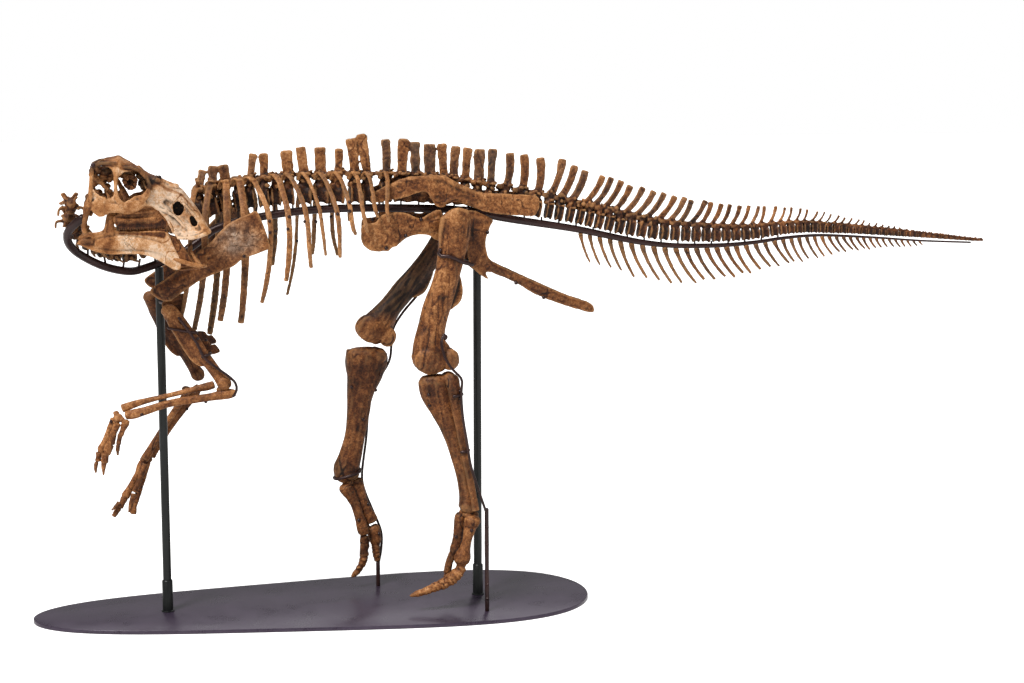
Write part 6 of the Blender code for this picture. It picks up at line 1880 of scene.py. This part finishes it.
def make_skull():
    shells = [skull_vault()]
    for s in LEFT, RIGHT:
        shells += [bar(rows, tone, side=s) for tone, *rows in SKULL_BARS]
        shells.append(blob((-0.470, SKULL_Y + s * 0.034, 1.354), (0.016, 0.010, 0.009), tone=0.62))
        shells.append(blob((-0.420, SKULL_Y + s * 0.014, 1.335), (0.020, 0.009, 0.008), tone=0.74))
    shells.append(loft([(-0.466, SKULL_Y, 1.362, 0.006, 0.022),
                        (-0.440, SKULL_Y, 1.348, 0.005, 0.018),
                        (-0.405, SKULL_Y, 1.333, 0.006, 0.012)], tone=0.70))

    def paint(co, shade):
        x, y, z = co[:, 0], np.abs(co[:, 1] - SKULL_Y), co[:, 2]
        shade[:, 0] += 0.07 + 0.10 * np.clip(lumps(co, 0.030, 41), -0.5, 1)
        shade[:, 0] -= 0.26 * np.clip(lumps(co, 0.017, 42) - 0.30, 0, 1)
        rear = np.clip((-0.585 - x) / 0.03, 0, 1) * np.clip((z - 1.372) / 0.02, 0, 1)
        shade[:, 0] -= 0.24 * rear
        brow = np.clip(1 - np.hypot((x + 0.482) / 0.034, (z - 1.352) / 0.024), 0, 1)
        shade[:, 0] -= 0.42 * brow
        shade[:, 1] += 0.4 * brow
        roof = np.clip((z - at(((-0.66, 1.37), (-0.57, 1.392), (-0.46, 1.338), (-0.40, 1.330)), x))
                       / 0.012, 0, 1) * np.clip((-0.445 - x) / 0.02, 0, 1)
        shade[:, 0] -= 0.20 * roof
        pale = np.clip(1.45 - np.hypot((x + 0.412) / 0.072, (z - 1.295) / 0.056), 0, 1)
        shade[:, 0] += 0.24 * pale
        shade[:, 1] += 0.35 * pale
        beak = np.clip((1.262 - z) / 0.03, 0, 1) * np.clip((x + 0.46) / 0.03, 0, 1)
        shade[:, 0] += 0.14 * beak
        lobe = np.clip(1 - np.hypot((x + 0.622) / 0.032, (z - 1.285) / 0.034), 0, 1)
        shade[:, 0] -= 0.16 * lobe
        # Painted shade: the inner faces of the vault, inside its walls and under its roof, are
        # darkened
        deep = np.clip((at(SKULL_WIDE, x) - 0.0075 - y) / 0.004, 0, 1) * np.clip(
            (at([(r[0], r[1]) for r in SKULL_ROOF], x) - 0.012 - z) / 0.004, 0, 1)
        shade[:, 0] -= 0.30 * deep
        shade[:, 1] += 0.12 * np.clip(lumps(co, 0.040, 43) - 0.1, 0, 1)
        return shade
    bone("skull_bones", ["skull"], shells, 0.0020, rough=0.7, slot="pale_bone", paint=paint)

    # Braincase and palate seen through the openings, with near-black sheets of painted shade
    # behind them
    shells = []
    for x, y, z, *sizes, tone in BRAINCASE:
        for s in ((LEFT, RIGHT) if y else (RIGHT,)):
            jog = dice.normal(0, 0.0014, 3)
            shells.append(blob((x + jog[0], SKULL_Y + s * y + jog[1], z + jog[2]), sizes,
                               turn=(dice.uniform(-20, 20), dice.uniform(-25, 25), 0), tone=tone))
    for s in LEFT, RIGHT:
        shells += [bar(rows, tone, across=(1, 0, 0), side=s) for tone, *rows in INNER_BARS]
    # Near-black plate between the two nostrils: painted shade seen through them
    shells.append(shifted(plate(NOSTRIL_SHADE_PLATE_OUTLINE, 0.0050, 0.04), (0, SKULL_Y, 0)))
    bone("braincase", ["skull"], shells, 0.0019, rough=1.6, slot="bone")

    # Upper jaw with its teeth, darker and set in from the wall
    shells = []
    for s in LEFT, RIGHT:
        row = [plate(UPPER_JAW_OUTLINE, 0.0115, 0.55)]
        row += [loft(rows, tone=tone, power=2) for tone, *rows in UPPER_JAW_RIDGES]
        for k, x in enumerate(np.arange(-0.580, -0.440, TOOTH_PITCH)):
            tall = 0.011 + 0.0015 * math.sin(k * 2.3)
            row.append(loft([(x, 0.001, 1.228, 0.0026, 0.0042),
                             (x, 0.002, 1.226 - tall * 0.5, 0.0024, 0.0038),
                             (x, 0.000, 1.2275 - tall, 0.0016, 0.0022)],
                            step=0.003, sides=8, tone=0.20 + 0.05 * (k % 3)))
        shells += [against(shell, s, upper_jaw_y) for shell in row]
    bone("upper_jaw_bones", ["skull"], shells, 0.0016, rough=0.6, slot="dark_bone")

    # Rings of small overlapping plates in the orbits
    for s, name in ((LEFT, "right"), (RIGHT, "left")):
        shells = []
        for k in range(EYE_PLATES):
            a = 2 * math.pi * k / EYE_PLATES + dice.normal(0, 0.04)
            tilt = (0.0016 if k % 2 else -0.0012) + dice.normal(0, 0.0006)
            y = SKULL_Y + s * (0.046 + tilt)
            grow, bore = 1 + dice.uniform(-0.10, 0.08), 1 + dice.uniform(-0.12, 0.16)
            ring = []
            for r, w in ((0.0100 * bore, -0.30), (0.0200 * grow, -0.29), (0.0218 * grow, 0.0),
                         (0.0200 * grow, 0.29), (0.0100 * bore, 0.30), (0.0092 * bore, 0.0)):
                ring.append((EYE_X + r * math.cos(a + w), EYE_Z + r * math.sin(a + w)))
            flake = plate(ring, 0.0028, 0.46 + 0.07 * (k % 3), smooth=False)
            shells.append(shifted(flake, (0, y, 0)))
        bone("eye_ring_" + name + "_plates", ["eye_ring_" + name], shells, 0.0010, rough=0.35,
             slot="pale_bone", smooth=1)


JAW_OUTLINE = milli((
    (-692, 1182), (-672, 1172), (-650, 1161), (-605, 1149), (-560, 1148), (-520, 1146),
    (-490, 1138), (-462, 1124), (-440, 1109), (-421, 1098), (-405, 1100), (-402, 1116),
    (-410, 1140), (-420, 1162), (-428, 1182), (-440, 1206), (-480, 1211), (-540, 1212),
    (-578, 1214), (-589, 1222), (-585, 1240), (-582, 1256), (-590, 1264), (-604, 1258),
    (-612, 1230), (-618, 1208), (-640, 1200), (-662, 1200), (-676, 1189)
))


def jaw_y(x):
    return at(((-0.69, 0.070), (-0.60, 0.062), (-0.45, 0.038), (-0.40, 0.031)), x)


LOWER_JAW_RIDGES = milli((
    (760, (-640, 0, 1180, 13, 6.2), (-590, 1, 1182, 22, 8.5), (-530, 1, 1178, 20, 9),
     (-470, 1, 1164, 17, 8), (-436, 0, 1140, 14, 6.5), (-416, 0, 1116, 10, 5.5)),
    (700, (-598, 2, 1205, 10, 7), (-596, 3, 1235, 9.5, 6), (-594, 3, 1257, 8.5, 5.5)),
    (600, (-686, 0, 1184, 6, 6), (-668, 1, 1190, 8.5, 9.5), (-648, 1, 1188, 8, 9))
))
JAW_FRONT_OUTLINE = milli((
    (-446, 1200), (-428, 1193), (-408, 1186), (-396, 1166), (-384, 1146), (-371, 1124),
    (-364, 1106), (-384, 1103), (-420, 1108), (-446, 1150)
))
# Horn-bearing bone at the front, a U seen from above, and its upright prongs
BEAK_BARS = milli((
    (620, (-336, 4, 1104, 5, 10), (-345, 24, 1106, 5.8, 8.5), (-372, 35, 1112, 7, 6.2),
     (-404, 37, 1123, 6.6, 5), (-428, 36, 1131, 4.2, 3.8)),
    (660, (-350, 26, 1112, 6, 4), (-362, 30, 1128, 5, 3.4), (-372, 31, 1146, 3, 2.6))
))


def make_mandible():
    shells = []
    for s in LEFT, RIGHT:
        row = [plate(JAW_OUTLINE, 0.0105, 0.74, step=0.004)]
        row += [loft(rows, tone=tone) for tone, *rows in LOWER_JAW_RIDGES]
        for k, x in enumerate(np.arange(-0.572, -0.440, TOOTH_PITCH)):
            row.append(loft([(x, -0.001, 1.206, 0.0026, 0.0040),
                             (x, -0.002, 1.2165, 0.0018, 0.0026)],
                            step=0.003, sides=8, tone=0.26 + 0.05 * (k % 2)))
        shells += [against(shell, s, jaw_y) for shell in row]

    def paint(co, shade):
        x, z = co[:, 0], co[:, 2]
        shade[:, 0] += 0.14 + 0.08 * np.clip(lumps(co, 0.026, 51), -1, 1)
        shade[:, 0] -= 0.22 * np.clip((-0.575 - x) / 0.03, 0, 1)
        shade[:, 0] -= 0.16 * np.clip((x + 0.45) / 0.04, 0, 1) * np.clip(lumps(co, 0.02, 52), 0, 1)
        shade[:, 0] -= 0.10 * np.clip((z - 1.200) / 0.02, 0, 1)
        return shade
    bone("lower_jaw_bones", ["mandible"], shells, 0.0019, rough=0.4, slot="pale_bone", paint=paint)
    # The front edge of each half stands forward of its outer plate, inside the beak
    shells = [shifted(plate(JAW_FRONT_OUTLINE, 0.0045, 0.46), (0, SKULL_Y + s * 0.029, 0))
              for s in (LEFT, RIGHT)]
    bone("jaw_front_plates", ["mandible"], shells, 0.0018, rough=0.8)
    shells = [bar(rows, tone, side=s) for s in (LEFT, RIGHT) for tone, *rows in BEAK_BARS]
    shells.append(loft([(-0.350, SKULL_Y, 1.104, 0.0100, 0.022),
                        (-0.378, SKULL_Y, 1.098, 0.0070, 0.016),
                        (-0.405, SKULL_Y, 1.094, 0.0045, 0.008)], tone=0.58, step=0.004))
    bone("beak_bone", ["mandible"], shells, 0.0014, rough=0.5, slot="pale_bone")


# ------------------------------------------------------------------ everything
for make in (make_base, make_posts, make_tube, make_tail, make_sacrum, make_trunk, make_neck,
             make_femora, make_shins, make_feet, make_arms, make_girdles, make_skull,
             make_mandible, make_wires):  # the wires last: they lie on the finished bones
    make()

# ------------------------------------------------------------------ studio
FLOOR_HALF, FLOOR_GLOW = 30, 0.60
floor = bpy.data.objects.new("floor", mesh_from("floor", FLOOR_HALF * np.array(
    [(-1, -1, 0), (1, -1, 0), (1, 1, 0), (-1, 1, 0)], float), [(0, 1, 2, 3)]))
bpy.context.scene.collection.objects.link(floor)
n = Nodes("pale_floor")
floor.data.materials.append(n.finish(
    n.ramp(n.noise(1.5, 2.0), ((0.3, (0.90, 0.90, 0.90)), (0.7, (0.92, 0.92, 0.92)))), 0.85,
    specular=0.1))
n.skin.inputs["Emission Color"].default_value = (1, 1, 1, 1)
seen = n.add("ShaderNodeLightPath")
n.link(n.math("MULTIPLY", seen.outputs["Is Camera Ray"], FLOOR_GLOW),
       n.skin.inputs["Emission Strength"])

camera = bpy.data.cameras.new("camera")
# Fitted to the photograph: the plate's outline in perspective, and the upright posts
camera.lens, camera.sensor_width = 70.3125, 36.0
camera.clip_end = 200.0
view = bpy.data.objects.new("camera", camera)
bpy.context.scene.collection.objects.link(view)
view.matrix_world = Matrix(((0.98020, 0.02929, -0.19581, EYE[0]),
                            (-0.19799, 0.14501, -0.96942, EYE[1]),
                            (0.0, 0.98900, 0.14795, EYE[2]), (0, 0, 0, 1)))
bpy.context.scene.camera = view


def sky_light(name, heading, height, spread_angle, strength, colour=(1, 1, 1)):
    """A broad distant lamp: heading and height in degrees, as the camera's view counts them."""
    data = bpy.data.lights.new(name, "SUN")
    data.angle, data.energy, data.color = math.radians(spread_angle), strength, colour
    lamp = bpy.data.objects.new(name, data)
    bpy.context.scene.collection.objects.link(lamp)
    a, b = math.radians(heading), math.radians(height)
    way = Vector((math.sin(a) * math.cos(b), -math.cos(a) * math.cos(b), math.sin(b)))
    lamp.rotation_euler = way.to_track_quat("Z", "Y").to_euler()


sky_light("key", -42, 52, 14, 3.32, (1.0, 0.985, 0.96))
sky_light("fill", 50, 30, 60, 0.26, (0.97, 0.985, 1.0))
sky_light("back", 165, 50, 40, 0.55)

SKY_LIGHT = 0.27  # what the white sky gives; the camera sees it at 1
world = bpy.data.worlds.new("studio")
world.use_nodes = True
bpy.context.scene.world = world
bpy.context.scene.view_settings.view_transform = "Standard"
shine = world.node_tree.nodes["Background"]
shine.inputs["Color"].default_value = (1.0, 1.0, 1.0, 1)
path = world.node_tree.nodes.new("ShaderNodeLightPath")
level = world.node_tree.nodes.new("ShaderNodeMapRange")
level.inputs["To Min"].default_value = SKY_LIGHT
level.inputs["To Max"].default_value = 1.0
world.node_tree.links.new(path.outputs["Is Camera Ray"], level.inputs["Value"])
world.node_tree.links.new(level.outputs[0], shine.inputs["Strength"])
